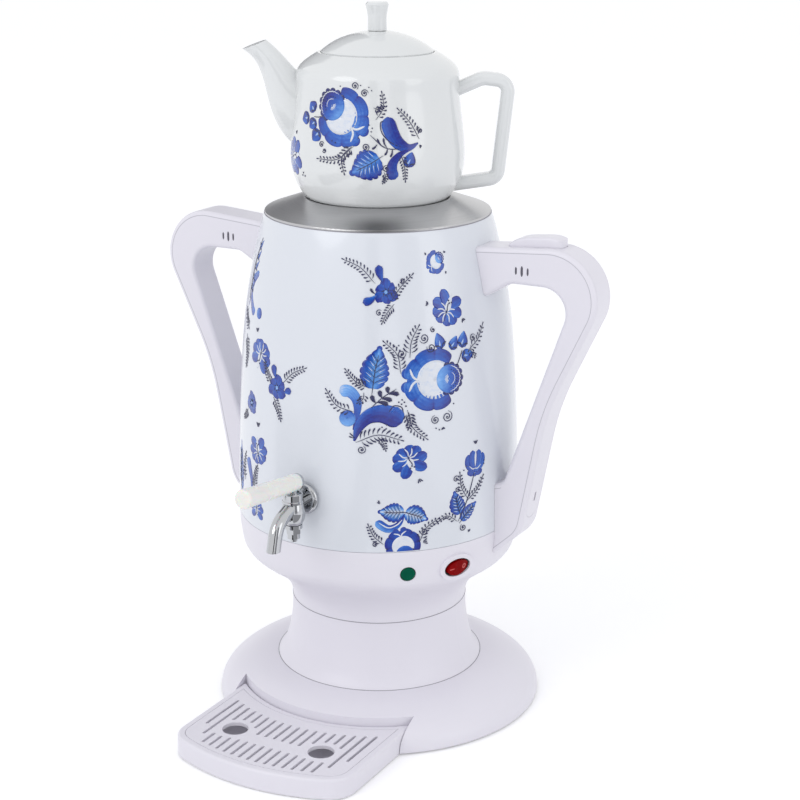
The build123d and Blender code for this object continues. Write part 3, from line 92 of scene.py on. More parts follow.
class TeaMakerColours(PropertyGroup):
    """Colours of the finishes, linear."""

    housing: swatch("Housing", "Moulded plastic of base, neck, bowl and handles", (0.762, 0.742, 0.806))
    paint: swatch("Shell paint", "Gloss paint of the outer shell", (0.70, 0.725, 0.78))
    glaze: swatch("Pot glaze", "Glaze of the teapot and its lid", (0.73, 0.745, 0.75))
    steel: swatch("Brushed top", "Brushed steel of the boiler lid", (0.56, 0.56, 0.57))
    chrome: swatch("Chrome", "Plated brass of the tap", (0.52, 0.53, 0.55))
    lever: swatch("Lever", "Milky plastic of the tap lever", (0.82, 0.82, 0.78))
    lens: swatch("Lamp lens", "Glossy green plastic of the lamp", (0.003, 0.085, 0.048))
    rocker: swatch("Rocker", "Glossy red plastic of the rocker", (0.21, 0.001, 0.002))
    mark: swatch("Switch marks", "Raised on and off marks of the rocker", (0.52, 0.06, 0.055))
    ink_line: swatch("Line ink", "Darkest blue of stems and veins", (0.016, 0.018, 0.085))
    ink_deep: swatch("Deep ink", "Deep cobalt of the petals", (0.012, 0.020, 0.25))
    ink_middle: swatch("Middle ink", "Middle blue of the petals", (0.012, 0.100, 0.48))
    ink_light: swatch("Light ink", "Light blue of the petals", (0.14, 0.36, 0.78))
    floor: swatch("Floor", "Studio floor and backdrop", (0.93, 0.93, 0.94))
    room: swatch("Room", "Even room light that falls on the object", (0.97, 0.98, 1.0))


class TeaMakerSizes(PropertyGroup):
    """Sizes of the ornament and the small marks."""

    ink_lift: distance("Ink lift", "Height of the lowest ink film over the surface", 0.02)
    ink_step: distance("Ink step", "Height of each brush stroke over the one below it", 0.008)
    ink_thickness: distance("Ink thickness", "Thickness of the ink film, sunk into the surface", 0.2)
    mark_size: distance("Mark size", "Radius of the ring on the rocker", 1.8)
    mark_height: distance("Mark height", "Thickness of the ring on the rocker", 0.25)
    mark_spread: distance("Mark spread", "Distance of each mark from the rocker's middle", 5.2)
    switch_turn: bearing("Switch turn", "Turn from the front to the switch", 62.0)
    switch_lean: bearing("Switch lean", "How far the switch faces down", 10.0)
    grip_mark_reach: distance("Grip mark reach", "Distance of the middle handle mark from the boiler's axis", 114.5)
    grip_mark_level: distance("Grip mark level", "Height of the handle marks over the table", 323.6)
    grip_mark_pitch: distance("Grip mark pitch", "Distance from one handle mark to the next", 4.2)
    joint_line: distance("Joint line", "Width of the line where the handle's two halves meet", 0.55)
    joint_lift: distance("Joint lift", "Height of that line over the handle's face", 0.03)
    seam_radius: distance("Seam radius", "Half the width of the dark line where two housings meet", 0.28)


class TeaMakerStage(PropertyGroup):
    """Camera, lamps and floor."""

    camera_turn: bearing("Camera turn", "Camera's turn from the front towards the right", 29.0)
    camera_tilt: bearing("Camera tilt", "How far the camera looks down", 17.0)
    camera_reach: distance("Camera reach", "Distance of the camera from the boiler's axis", 1200.0)
    camera_height: distance("Camera height", "Height of the camera over the table", 583.0)
    camera_shift: distance("Camera sidestep", "Sideways offset of the camera from the axis", 15.0)
    lens_length: number("Lens", "Focal length in millimetres of the 36 mm sensor", 80.55)
    key_power: number("Key lamp", "Power of the key lamp in watts", 9.0)
    fill_power: number("Fill lamp", "Power of the fill lamp in watts", 4.0)
    lamp_size: distance("Lamp size", "Width of each round lamp", 1400.0)
    lamp_aim: distance("Lamp aim", "Height over the table at which the lamps point", 250.0)
    room_light: number("Room light", "Strength of the even room light", 0.90)
    floor_width: distance("Floor width", "Width and length of the studio floor", 60000.0)
    floor_glow: number("Floor glow", "Light the floor adds for the camera and mirrors alone", 0.18)


def settings():
    """The scene's property groups: colours, sizes and stage."""
    scene = bpy.context.scene
    return scene.tea_maker_colours, scene.tea_maker_sizes, scene.tea_maker_stage


# Finishes


class NodeTree:
    """A node tree with short calls for adding and joining its nodes."""

    def __init__(self, tree):
        self.tree = tree

    def link(self, source, target):
        self.tree.links.new(source, target)

    def add(self, kind, inputs=None, **values):
        """Adds a node. Inputs go by name or place: a socket is linked, anything else is set."""
        node = self.tree.nodes.new(kind)
        for key, value in values.items():
            setattr(node, key, value)
        for key, value in (inputs or {}).items():
            if isinstance(value, bpy.types.NodeSocket):
                self.link(value, node.inputs[key])
            else:
                node.inputs[key].default_value = value
        return node

    def math(self, operation, first, second=0.0, **values):
        return self.add("ShaderNodeMath", {0: first, 1: second}, operation=operation, **values).outputs[0]

    def seen(self):
        """1 for rays from the camera, by way of mirrors and clear parts too; 0 for light."""
        rays = self.add("ShaderNodeLightPath").outputs
        share = self.math("MAXIMUM", rays["Is Camera Ray"], rays["Is Glossy Ray"])
        return self.math("MAXIMUM", share, rays["Is Transmission Ray"])


class Finish(NodeTree):
    """Node tree of one material, with short calls for what its surface needs."""

    def __init__(self, name, colour, roughness, metallic=0.0):
        self.material = bpy.data.materials.new(name)
        self.material.use_nodes = True
        super().__init__(self.material.node_tree)
        self.shader = self.tree.nodes["Principled BSDF"]
        self.set(Base_Color=(*colour, 1.0), Roughness=roughness, Metallic=metallic)
        self.material.diffuse_color = (*colour, 1.0)
        self.coordinates = self.add("ShaderNodeTexCoord").outputs["Object"]

    def set(self, **values):
        for key, value in values.items():
            self.shader.inputs[key.replace("_", " ")].default_value = value
        return self

    def noise(self, scale, detail=2.0, stretch=None, roughness=0.5, at=None):
        """Noise over the object or the places given, stretched along the axes if asked."""
        place = at or self.coordinates
        if stretch:
            place = self.add("ShaderNodeMapping", {"Vector": place, "Scale": stretch}).outputs["Vector"]
        inputs = {"Vector": place, "Scale": scale, "Detail": detail, "Roughness": roughness}
        return self.add("ShaderNodeTexNoise", inputs).outputs["Fac"]

    def ranged(self, source, low, high):
        """A value from 0 to 1 brought into a range."""
        return self.add("ShaderNodeMapRange", {"Value": source, "To Min": low, "To Max": high}).outputs["Result"]

    def mixed(self, share, first, second):
        return self.add("ShaderNodeMix", {0: share, 6: first, 7: second}, data_type="RGBA").outputs[2]

    def tint(self, share, dark, light):
        """Base colour that drifts between two shades."""
        self.link(self.mixed(share, dark, light), self.shader.inputs["Base Color"])

    def rough(self, source, low, high):
        self.link(self.ranged(source, low, high), self.shader.inputs["Roughness"])

    def bump(self, source, strength, depth):
        bump = self.add("ShaderNodeBump", {"Height": source, "Strength": strength, "Distance": depth})
        self.link(bump.outputs["Normal"], self.shader.inputs["Normal"])


def shade(colour, factor):
    """A colour made darker or lighter, with its alpha."""
    return (*(min(1.0, channel * factor) for channel in colour), 1.0)


def grained(name, colour, tint, rough, bump, metallic=0.0, **values):
    """Finish that varies with noise. Each of tint, rough and bump holds the noise's scale and detail and
    two values: the shades' factors, the least and most roughness, the strength and depth of the grain."""
    finish = Finish(name, colour, rough[2], metallic)
    finish.tint(finish.noise(*tint[:2]), shade(colour, tint[2]), shade(colour, tint[3]))
    finish.rough(finish.noise(*rough[:2]), *rough[2:])
    finish.bump(finish.noise(*bump[:2]), *bump[2:])
    return finish.set(**values).material


def moulded_plastic(name, colour, low=0.30, high=0.40):
    """Satin injection-moulded plastic with a very fine grain."""
    return grained(name, colour, (9.0, 3.0, 0.975, 1.01), (60.0, 3.0, low, high), (2600.0, 2.0, 0.05, 0.0002),
                   Specular_IOR_Level=0.45)


def gloss_paint(name, colour):
    """Sprayed and baked paint with a faint orange peel."""
    return grained(name, colour, (5.0, 2.0, 0.985, 1.01), (40.0, 2.0, 0.18, 0.26), (420.0, 1.0, 0.04, 0.0003),
                   Coat_Weight=0.4, Coat_Roughness=0.08)


def glaze(name, colour):
    """Fired glaze, slightly uneven in depth and surface."""
    return grained(name, colour, (14.0, 4.0, 0.975, 1.01), (50.0, 2.0, 0.10, 0.18), (55.0, 2.0, 0.10, 0.0006),
                   Coat_Weight=0.6, Coat_Roughness=0.04)


def plated(name, colour):
    """Polished plating with the faint waves of hand polishing."""
    return grained(name, colour, (30.0, 2.0, 0.97, 1.0), (120.0, 3.0, 0.03, 0.09), (180.0, 2.0, 0.03, 0.0003), 1.0)


def rubber(name, colour):
    return grained(name, colour, (80.0, 4.0, 0.8, 1.2), (70.0, 2.0, 0.62, 0.8), (900.0, 3.0, 0.15, 0.0002))


def glossy_plastic(name, colour):
    """Deep coloured plastic of lamp and rocker, nearly free of reflections."""
    return grained(name, colour, (220.0, 2.0, 0.8, 1.25), (150.0, 2.0, 0.05, 0.12), (500.0, 1.0, 0.03, 0.0002),
                   Specular_IOR_Level=0.03)


def milky_plastic(name, colour):
    return grained(name, colour, (60.0, 3.0, 0.96, 1.03), (90.0, 2.0, 0.20, 0.32), (1200.0, 2.0, 0.04, 0.0002),
                   Subsurface_Weight=0.35, Subsurface_Scale=0.004)


def rolled_steel(name, colour):
    """Plain sheet or wire with fine drawing lines."""
    finish = Finish(name, colour, 0.35, 1.0)
    grain = finish.noise(300.0, 4.0, (1.0, 1.0, 9.0))
    finish.tint(grain, shade(colour, 0.88), shade(colour, 1.1))
    finish.rough(grain, 0.28, 0.42)
    finish.bump(grain, 0.06, 0.0001)
    return finish.material


def turned_steel(name, colour):
    """Steel brushed in rings round the axis, with two soft dark fans of painted reflection in its colour, on the
    camera's side and the side opposite.
    """
    line_length = 0.0012
    painted_fan_turn, painted_fan_slimness, painted_fan_depth = radians(61.0), 26.0, 0.78
    painted_fan_start, painted_fan_end = 56 * MM, 72 * MM
    finish = Finish(name, colour, 0.32, 1.0)
    split = finish.add("ShaderNodeSeparateXYZ", {0: finish.coordinates}).outputs
    flat = finish.add("ShaderNodeCombineXYZ", {"X": split["X"], "Y": split["Y"]}).outputs[0]
    reach = finish.add("ShaderNodeVectorMath", {0: flat}, operation="LENGTH").outputs["Value"]
    turn = finish.math("ARCTAN2", split["Y"], split["X"])
    around = finish.math("MULTIPLY", turn, line_length)
    rings = finish.add("ShaderNodeCombineXYZ", {"X": reach, "Y": around, "Z": split["Z"]}).outputs[0]
    grain = finish.noise(2400.0, 4.0, at=rings)
    brushed = finish.mixed(grain, shade(colour, 0.82), shade(colour, 1.14))
    # Painted reflection: two dark fans tinted into the base colour, one on the camera's side and one opposite, darkest
    # over the outer ring
    across = finish.math("ABSOLUTE", finish.math("COSINE", finish.math("ADD", turn, painted_fan_turn)))
    fan = finish.math("POWER", across, painted_fan_slimness)
    limits = {"Value": reach, "From Min": painted_fan_start, "From Max": painted_fan_end, "To Min": 0.0, "To Max": painted_fan_depth}
    rim = finish.add("ShaderNodeMapRange", limits, interpolation_type="SMOOTHSTEP").outputs["Result"]
    finish.tint(finish.math("MULTIPLY", fan, rim), brushed, shade(colour, 0.12))
    finish.rough(grain, 0.24, 0.42)
    finish.bump(grain, 0.18, 0.0001)
    return finish.material


def brush_ink(name, colours, line_scale=260.0):
    """Blue brush colour: the piece's ink value picks the shade, fine streaks break it up."""
    finish = Finish(name, colours.ink_middle, 0.2)
    ink = finish.add("ShaderNodeAttribute", attribute_name="ink").outputs["Fac"]
    streaks = finish.ranged(finish.noise(line_scale, 5.0, (1.0, 1.0, 1.6), 0.6), -0.13, 0.13)
    ramp = finish.add("ShaderNodeValToRGB", {0: finish.math("ADD", ink, streaks, use_clamp=True)})
    stops = ramp.color_ramp.elements
    shades = (
        (0.0, colours.ink_line), (0.12, colours.ink_line), (0.24, colours.ink_deep),
        (0.50, colours.ink_middle), (0.76, colours.ink_light), (1.0, colours.paint),
    )
    while len(stops) < len(shades):
        stops.new(0.5)
    for stop, (place, colour) in zip(stops, shades):
        stop.position = place
        stop.color = (*colour, 1.0)
    finish.link(ramp.outputs["Color"], finish.shader.inputs["Base Color"])
    finish.rough(finish.noise(60.0, 2.0), 0.16, 0.24)
    return finish.set(Coat_Weight=0.4, Coat_Roughness=0.08).material


def two_tone(name, dark, light, scale, roughness):
    """Dull finish that drifts between two colours."""
    finish = Finish(name, [(low + high) / 2 for low, high in zip(dark, light)], roughness)
    finish.tint(finish.noise(scale), shade(dark, 1.0), shade(light, 1.0))
    return finish.material


def dress(material, names):
    """Gives frame nodes a material."""
    for name in names.split():
        mesh = nodes[name].data
        mesh.materials.clear()
        mesh.materials.append(material)
        mesh.polygons.foreach_set("material_index", [0] * len(mesh.polygons))


def add_object(name, shape, material):
    """Turns a finished bmesh into an object of the scene."""
    mesh = bpy.data.meshes.new(name)
    shape.to_mesh(mesh)
    shape.free()
    mesh.materials.append(material)
    made = bpy.data.objects.new(name, mesh)
    bpy.context.scene.collection.objects.link(made)
    return made


def add_piece(name, shape, material, body, slot=None):
    """Object that rides on a body. The slot it is given is not used."""
    piece = add_object(name, shape, material)
    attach(piece, body)
    return piece


# Brush work: strokes are laid on a flat sheet in millimetres, then wrapped round a body


def smooth_line(points, count):
    """Points and side directions along a smooth line through the given points."""
    points = [Vector(point) for point in points]
    if len(points) == 2:
        points.insert(1, (points[0] + points[1]) / 2)
    ends = [2 * points[0] - points[1], *points, 2 * points[-1] - points[-2]]
    spans = len(points) - 1

    def place(t):
        k = min(int(t * spans), spans - 1)
        u = t * spans - k
        a, b, c, d = ends[k : k + 4]
        return 0.5 * (2 * b + (c - a) * u + (2 * a - 5 * b + 4 * c - d) * u**2 + (3 * b - a - 3 * c + d) * u**3)

    line = [place(index / (count - 1)) for index in range(count)]
    sides = []
    for index in range(count):
        ahead = line[min(index + 1, count - 1)] - line[max(index - 1, 0)]
        ahead = ahead.normalized() if ahead.length > 1e-9 else Vector((1, 0))
        sides.append(Vector((-ahead.y, ahead.x)))
    return line, sides


def outline(shape, t, share):
    """Half width along a stroke, as a share of the full one. share is the round head's part of a drop."""
    if shape == "drop":
        share = min(share, 0.5)
        body = 0.10 + 0.90 * (1 - (1 - min(t / max(1 - share, 0.01), 1.0)) ** 1.6)
        if t > 1 - share:
            body *= sqrt(max(0.0025, 1 - ((t - 1 + share) / share) ** 2))
        return body
    if shape == "line":
        return min(1.0, 4 * t + 0.35, 4 * (1 - t) + 0.35)
    if shape == "leaf":
        return max(0.04, sin(pi * (t * 0.93 + 0.04) ** 0.76) ** 0.8)
    if shape == "petal":
        cap = sqrt(max(0.003, 1 - max(0.0, (t - 0.62) / 0.38) ** 2))
        return max(0.05, (0.22 + 0.78 * sin(pi * min(t, 0.62) / 1.24)) * cap)
    if shape == "band":
        cap = min(1.0, t / 0.07, (1 - t) / 0.07)
        return max(0.05, sqrt(max(0.0, 1 - (1 - cap) ** 2)))
    raise ValueError(shape)


class BrushWork:
    """Strokes of one ornament as a flat mesh; x and y in millimetres, z counts the film's level."""

    def __init__(self):
        self.mesh = bmesh.new()
        self.ink = self.mesh.verts.layers.float.new("ink")
        self.level = 0

    def next_level(self, level=None):
        """The level asked for, or one above the last."""
        if level is not None:
            return level
        self.level += 1
        if self.level >= LINES:
            raise RuntimeError("too many strokes lie on each other")
        return self.level

    def grid(self, along, across):
        return bmesh.ops.create_grid(self.mesh, x_segments=along, y_segments=across, size=0.5)["verts"]

    def place(self, vertex, x, y, height, ink):
        vertex.co = (x, y, height)
        vertex[self.ink] = min(1.0, max(0.0, ink))

    def stroke(self, points, width, tone, shape="drop", along=12, across=4, scallops=0, outside=0, level=None):
        """One stroke along a line. width is its half width, tone gives the ink from place along and across."""
        line, sides = smooth_line(points, along + 1)
        length = sum((b - a).length for a, b in zip(line, line[1:])) or 1.0
        height = self.next_level(level)
        for vertex in self.grid(along, across):
            t = vertex.co.x + 0.5
            v = vertex.co.y * 2
            index = min(int(round(t * along)), along)
            half = width * outline(shape, t, width / length)
            if scallops and v * outside >= 0:
                depth = 0.15 if shape == "leaf" else 0.26
                half *= 1.0 - depth * (1.0 - sqrt(abs(sin(t * pi * scallops))))
            spot = line[index] + sides[index] * half * v
            self.place(vertex, spot.x, spot.y, height, tone(t, v))

    def disc(self, centre, radius, tone, rings=5, segments=28, level=None):
        """Round spot; tone gives the ink from the place in it, each way from -1 to 1."""
        height = self.next_level(level)
        for vertex in self.grid(segments, rings):
            around = (vertex.co.x + 0.5) * 2 * pi
            reach = max(vertex.co.y + 0.5, 0.02)
            x, y = reach * cos(around), reach * sin(around)
            self.place(vertex, centre[0] + radius * x, centre[1] + radius * y, height, tone(x, y))

    def wrapped(self, name, radius_at, mm_per_degree, turn, lowest, *home):
        """Adds the strokes as a film round a turned body whose radius is known at each height."""
        _, sizes, _ = settings()
        film = self.mesh
        bmesh.ops.remove_doubles(film, verts=film.verts, dist=1e-5)
        bmesh.ops.bisect_plane(
            film, geom=[*film.verts, *film.edges, *film.faces], plane_co=(0.0, lowest, 0.0),
            plane_no=(0.0, -1.0, 0.0), clear_outer=True,
        )
        for vertex in film.verts:
            azimuth = radians(vertex.co.x / mm_per_degree + turn)
            radius = radius_at(vertex.co.y) + sizes.ink_lift + vertex.co.z * sizes.ink_step
            vertex.co = (radius * sin(azimuth), -radius * cos(azimuth), vertex.co.y * MM)
        bmesh.ops.recalc_face_normals(film, faces=film.faces)
        for face in film.faces:
            face.smooth = True
            if face.normal.xy.dot(face.calc_center_median().xy) < 0:
                face.normal_flip()
        solid = add_piece(name, film, *home).modifiers.new("film", "SOLIDIFY")
        solid.thickness = sizes.ink_thickness
        solid.offset = -1.0


def profile_of(target, levels, azimuths):
    """Outside radius of a turned node by height in millimetres, from rays shot inwards at some azimuths."""
    tree = BVHTree.FromObject(target, bpy.context.evaluated_depsgraph_get())
    bottom, top = levels
    radii = []
    for height in range(bottom, top + 1):
        found = []
        for azimuth in azimuths:
            out = Vector((sin(radians(azimuth)), -cos(radians(azimuth)), 0.0))
            spot = tree.ray_cast(out * OUTSIDE + UP * height * MM, -out)[0]
            if spot:
                found.append(spot.xy.length)
        if not found:
            raise RuntimeError(f"no surface at {height} mm")
        radii.append(max(found))
    last = len(radii) - 1
    for _ in range(2):
        inner = [(radii[k - 1] + 2 * radii[k] + radii[k + 1]) / 4 for k in range(1, last)]
        radii = [radii[0], *inner, radii[last]]

    def radius_at(height):
        place = min(max(height - bottom, 0.0), last - 0.001)
        index = int(place)
        return radii[index] + (radii[index + 1] - radii[index]) * (place - index)

    return radius_at


# Motifs


def polar(centre, radius, degrees):
    return (centre[0] + radius * cos(radians(degrees)), centre[1] + radius * sin(radians(degrees)))


def between(a, b, share, aside=0.0):
    """A point on the way from a to b, stepped aside by a share of that way."""
    dx, dy = b[0] - a[0], b[1] - a[1]
    return (a[0] + dx * share - dy * aside, a[1] + dy * share + dx * aside)


def polar_from(centre, radius, turn):
    """Finds places round a flower by their share of its radius and their angle from its turn."""
    return lambda reach, angle=0.0: polar(centre, radius * reach, turn + angle)


def even(ink):
    """Tone of a stroke with the same ink all over."""
    return lambda t, v: ink


WHITE = even(1.0)


def petal_tone(deep, light):
    """Shading of a petal: one edge deep, the other light, streaks along it."""

    def tone(t, v):
        streak = 0.05 * sin(v * 17.0 + t * 3.0)
        edge = 0.10 if abs(v) > 0.93 or t > 0.96 else 0.0
        return deep + (light - deep) * (0.5 - 0.5 * v) * (1.15 - 0.55 * t) + streak - edge

    return tone


def stem(work, points, width=0.28, along=10):
    work.stroke(points, width, even(LINE_INK), "line", along, 1, level=LINES)


def vein(work, points, width, ink, along, across):
    work.stroke(points, width, even(ink), "line", along, across)


def drop(work, start, end, width, bend=0.0, tone=even(LINE_INK), along=6, across=2, level=LINES):
    work.stroke([start, between(start, end, 0.5, bend), end], width, tone, "drop", along, across, level=level)


def petal(work, start, end, width, bend, deep, light):
    drop(work, start, end, width, bend, petal_tone(deep, light), 8, 5)


def dots(work, places, radius=0.5):
    for place in places:
        work.disc(place, radius, even(0.1), rings=1, segments=8, level=LINES)


def berry(work, place, radius, ink, right, up, segments):
    """Round spot whose ink changes to the right and upwards."""
    work.disc(place, radius, lambda x, y: ink + right * x + up * y, segments=segments)


def spiral(work, centre, radius, turns=1.6, start=0.0, way=1):
    """Curled line with a dot in its eye."""
    count = int(12 * turns)
    line = [
        polar(centre, radius * (0.16 + 0.84 * k / count), start + way * 360 * turns * (1 - k / count))
        for k in range(count + 1)
    ]
    stem(work, line, 0.27, 2 * count)
    dots(work, [centre])


def fern(work, root, tip, bend=0.12, pairs=7, length=3.6, width=0.5, curl=True):
    """Thin stem with pairs of short leaves that shrink towards the tip."""
    points = [root, between(root, tip, 0.5, bend), tip]
    stem(work, points, 0.22)
    line, sides = smooth_line(points, 2 * pairs + 3)
    for index in range(pairs):
        base, out = line[2 * index + 2], sides[2 * index + 2]
        ahead = Vector((out.y, -out.x))
        size = length * (1.15 - 0.6 * index / pairs)
        for side in (-1, 1):
            way = (ahead * 0.62 + out * side * 0.8) * size
            drop(work, base + way * 0.22, base + way, width, 0.10 * side)
    if curl:
        drop(work, line[-2], Vector(tip) + (Vector(tip) - line[-3]) * 0.6, width * 0.8)


def comma(work, points, width, tail=0.26, head=0.5, side=0.1):
    """Broad curved stroke, thin at its tail and round at its head, lighter on one side."""

    def tone(t, v):
        edge = 0.08 if abs(v) > 0.92 else 0.0
        return max(0.24, tail + (head - tail) * t + side * v + 0.035 * sin(v * 15.0 + t * 4.0)) - edge

    work.stroke(points, width, tone, "drop", 28, 12)


def bud(work, base, tip, width, deep=0.30, light=0.62):
    """Small closed bud, broad at its foot and pointed at its tip, with a light fleck and two sepals."""
    work.stroke([tip, base], width, petal_tone(deep, light), "drop", 12, 6)
    drop(work, between(base, tip, 0.55), between(base, tip, 0.2, 0.1), width * 0.16, 0.05, even(0.85))
    for side in (1, -1):
        drop(work, base, between(base, tip, 0.3, 0.42 * side), width * 0.13, -0.2 * side)


def leaf(work, base, tip, width, scallops=5, deep=0.30, light=0.74):
    """Broad leaf with a scalloped edge, light blade and dark veins."""
    slim = width / (Vector(tip) - Vector(base)).length

    def at(share, aside=0.0):
        return between(base, tip, share, aside)

    def blade(t, v):
        ridge = 0.03 * sin(t * 44.0 - abs(v) * 9.0)
        return light - (light - deep) * abs(v) ** 1.4 * (0.8 + 0.4 * t) + ridge - (0.06 if v > 0 else 0.0)

    work.disc(tip, width * 0.2, even(deep + 0.06), rings=3, segments=14)
    work.stroke([base, at(0.5, 0.03), tip], width, blade, "leaf", 12 * scallops, 12, scallops)
    stem(work, [at(-0.16), at(0.4, 0.02), at(0.84)], 0.26)
    for index in range(5):
        root = at(0.14 + 0.13 * index)
        for side in (-1, 1):
            end = at(0.30 + 0.14 * index, slim * (0.74 - 0.09 * index) * side)
            drop(work, end, root, 0.17, 0.06 * side, across=1)
            fleck = between(root, end, 0.9, 0.16 * side), between(root, end, 0.25, 0.12 * side)
            drop(work, *fleck, 0.3, 0.0, even(0.9), 5, 2, LINES - 1)


def lobed_band(work, centre, radius, start, end, deep, light, lobes=3):
    """Band of petals round a heart, scalloped on its outside, each petal dark at its start."""
    line = [polar(centre, radius * 0.73, start + (end - start) * k / 8) for k in range(9)]
    way = 1 if end < start else -1

    def tone(t, v):
        phase = (t * lobes) % 1.0
        rim = 0.5 + 0.5 * v * way
        streak = 0.035 * sin(v * 13.0 + t * 9.0)
        gap = 0.14 * max(0.0, 1.0 - 9.0 * min(phase, 1.0 - phase)) * rim
        glow = (1.0 - 0.62 * t) * (0.35 + 0.5 * rim + 0.4 * (1.0 - phase) * rim)
        return light - (light - deep) * glow + streak - gap

    work.stroke(line, radius * 0.27, tone, "band", 16 * lobes, 12, lobes, way)


def rose(work, centre, radius, turn, deep=0.24, light=0.72, bud_size=0.45, bud_ink=0.54):
    """Round rose: lobed petals round a white heart, and a shaded bud on the turn's side."""
    at = polar_from(centre, radius, turn)
    work.disc(at(0.70, 180), radius * 0.17, even(light - 0.2), 3, 16)
    for way in (-1, 1):
        work.disc(at(0.90, 180 - 14 * way), radius * 0.18, lambda x, y: deep + 0.10 * (1 - x), 4, 18)
    for way in (1, -1):
        lobed_band(work, centre, radius, turn + 42 * way, turn + 180 * way, deep, light)
    work.disc(at(0.06), radius * 0.61, WHITE)
    for way in (-1, 1):
        split = [at(0.50, 180), at(0.68, 180 - 9 * way), at(0.86, 180 - 24 * way)]
        work.stroke(split, radius * 0.035, WHITE, "line", 8, 2)
    eye = at(0.55)
    in_bud = polar_from(eye, radius, turn)
    c, s = cos(radians(turn)), sin(radians(turn))
    ruff = work.next_level()
    for index in range(9):
        work.disc(in_bud(bud_size * 0.94, 26 * index - 104), radius * 0.11, even(0.16), 2, 14, ruff)

    def bud_tone(x, y):
        return bud_ink - 0.32 * (x * c + y * s) - 0.06 * (x * x + y * y) ** 2

    work.disc(eye, radius * bud_size, bud_tone, 8, 36)
    rim = [in_bud(bud_size - 0.06 + 0.024 * (k % 2), 7 * k - 84) for k in range(25)]
    work.stroke(rim, radius * 0.014, WHITE, "line", 72, 1)
    inner = [in_bud(0.20 + 0.014 * (k % 2), 9 * k - 70) for k in range(16)]
    work.stroke(inner, radius * 0.010, WHITE, "line", 48, 1)
    flecks = work.next_level()
    for angle in range(120, 256, 17):
        work.stroke([in_bud(0.05, angle), in_bud(0.17, angle)], radius * 0.010, WHITE, "line", 4, 1, level=flecks)
    dots(work, [in_bud(0.29, 19 * k - 76) for k in range(9)], radius * 0.017)


def open_flower(work, centre, radius, turn, petals=8, gap=44, deep=0.27, light=0.60):
    """Flower with rounded petals round an off-centre white drop on the turn's side."""
    foot = polar(centre, radius * 0.26, turn + 180)
    at = polar_from(foot, radius, turn)
    step = (360 - gap) / petals
    for index in sorted(range(petals), key=lambda k: (abs(k - (petals - 1) / 2), -k)):
        angle = gap / 2 + step * (index + 0.5)
        reach = 1.02 + 0.27 * cos(radians(angle))
        bend = 10 if index < petals / 2 else -10
        line = [foot, at(reach * 0.55, angle - bend), at(reach, angle)]
        work.stroke(line, radius * 0.32, petal_tone(deep, light), "petal", 14, 8)
    veins = work.next_level()
    for index in range(petals - 1):
        angle = gap / 2 + step * (index + 1)
        bend = 0.14 if index < petals / 2 else -0.14
        far = at(0.60, angle)
        line = [far, between(far, foot, 0.5, bend), at(0.06, angle)]
        work.stroke(line, radius * 0.035, WHITE, "line", 8, 1, level=veins)
    work.stroke([at(1.0), at(0.05)], radius * 0.20, WHITE, "drop", 12, 5)
    drop(work, foot, at(0.48, 8), radius * 0.03)
    drop(work, at(-0.22), at(0.2), radius * 0.03)
    dots(work, [at(0.50), at(0.62, 10), at(0.60, -12)], radius * 0.05)


def wild_flower(work, centre, radius, turn, petals=6):
    """Ragged flower of six or seven petals with a light eye."""
    at = polar_from(centre, radius, turn)
    for index in range(petals):
        angle = 360 * index / petals
        reach = 1.0 if index % 2 else 0.82
        line = [at(0.04, angle), at(reach * 0.55, angle + 10), at(reach, angle)]
        work.stroke(line, radius * 0.44, petal_tone(0.26, 0.50), "petal", 14, 8, 3)
    work.disc(centre, radius * 0.14, even(0.8), 2, 10)
    for angle in range(0, 360, 60):
        drop(work, at(0.40, angle + 30), at(0.16, angle), radius * 0.03)
        dots(work, [at(0.22, angle)], radius * 0.04)


def bell_flower(work, base, tip, width):
    """Upright cup of petals on a stem, with a light slit and a ruff at its foot."""
    slim = width / (Vector(tip) - Vector(base)).length

    def at(share, aside=0.0):
        return between(base, tip, share, aside * slim)

    for aside, reach in ((0.80, 0.84), (-0.80, 0.84), (0.34, 1.0), (-0.34, 1.0)):
        end = at(reach, aside)
        line = [at(0.05), between(base, end, 0.5, aside * 0.14), end]
        work.stroke(line, width * 0.42, petal_tone(0.34, 0.58), "petal", 14, 8)
    for side in (-1, 1):
        ruff = [at(0.10), at(-0.02, 0.30 * side), at(0.12, 0.80 * side)]
        work.stroke(ruff, width * 0.22, petal_tone(0.30, 0.5), "drop", 10, 5)
        gleam = [at(0.22), at(0.20, 0.26 * side), at(0.34, 0.62 * side)]
        work.stroke(gleam, width * 0.045, WHITE, "line", 8, 1)
    work.stroke([at(0.92), at(0.3)], width * 0.10, WHITE, "leaf", 8, 3)
    work.stroke([base, at(-0.14)], width * 0.20, petal_tone(0.30, 0.5), "drop", 8, 4)


def ticks(work, place, turn, size=3.0, count=3):
    """Small fan of short dashes."""
    for index in range(count):
        angle = turn + 26 * (index - (count - 1) / 2)
        drop(work, polar(place, 0.8, angle), polar(place, size * (1.0 - 0.15 * (index % 2)), angle), 0.42)


LINE_MOTIFS = {motif.__name__: motif for motif in (stem, vein, dots, comma)}
PLACED_MOTIFS = {
    motif.__name__: motif
    for motif in (drop, petal, berry, spiral, fern, bud, leaf, rose, open_flower, wild_flower, bell_flower, ticks)
}


def paint(table, mm_per_degree):
    """Paints the motifs of a table, row by row: the motif's name, its places as degrees,millimetres and its
    numbers. The row "apart" starts a group that touches none of the others, so it starts at the lowest level."""
    work = BrushWork()
    for row in table.strip().splitlines():
        name, *words = row.split()
        if name == "apart":
            work.level = 0
            continue
        places, numbers = [], []
        for word in words:
            if "," in word:
                degrees, height = word.split(",")
                places.append((float(degrees) * mm_per_degree, float(height)))
            else:
                numbers.append(float(word) if "." in word else int(word))
        if name in LINE_MOTIFS:
            LINE_MOTIFS[name](work, places, *numbers)
        else:
            PLACED_MOTIFS[name](work, *places, *numbers)
    return work


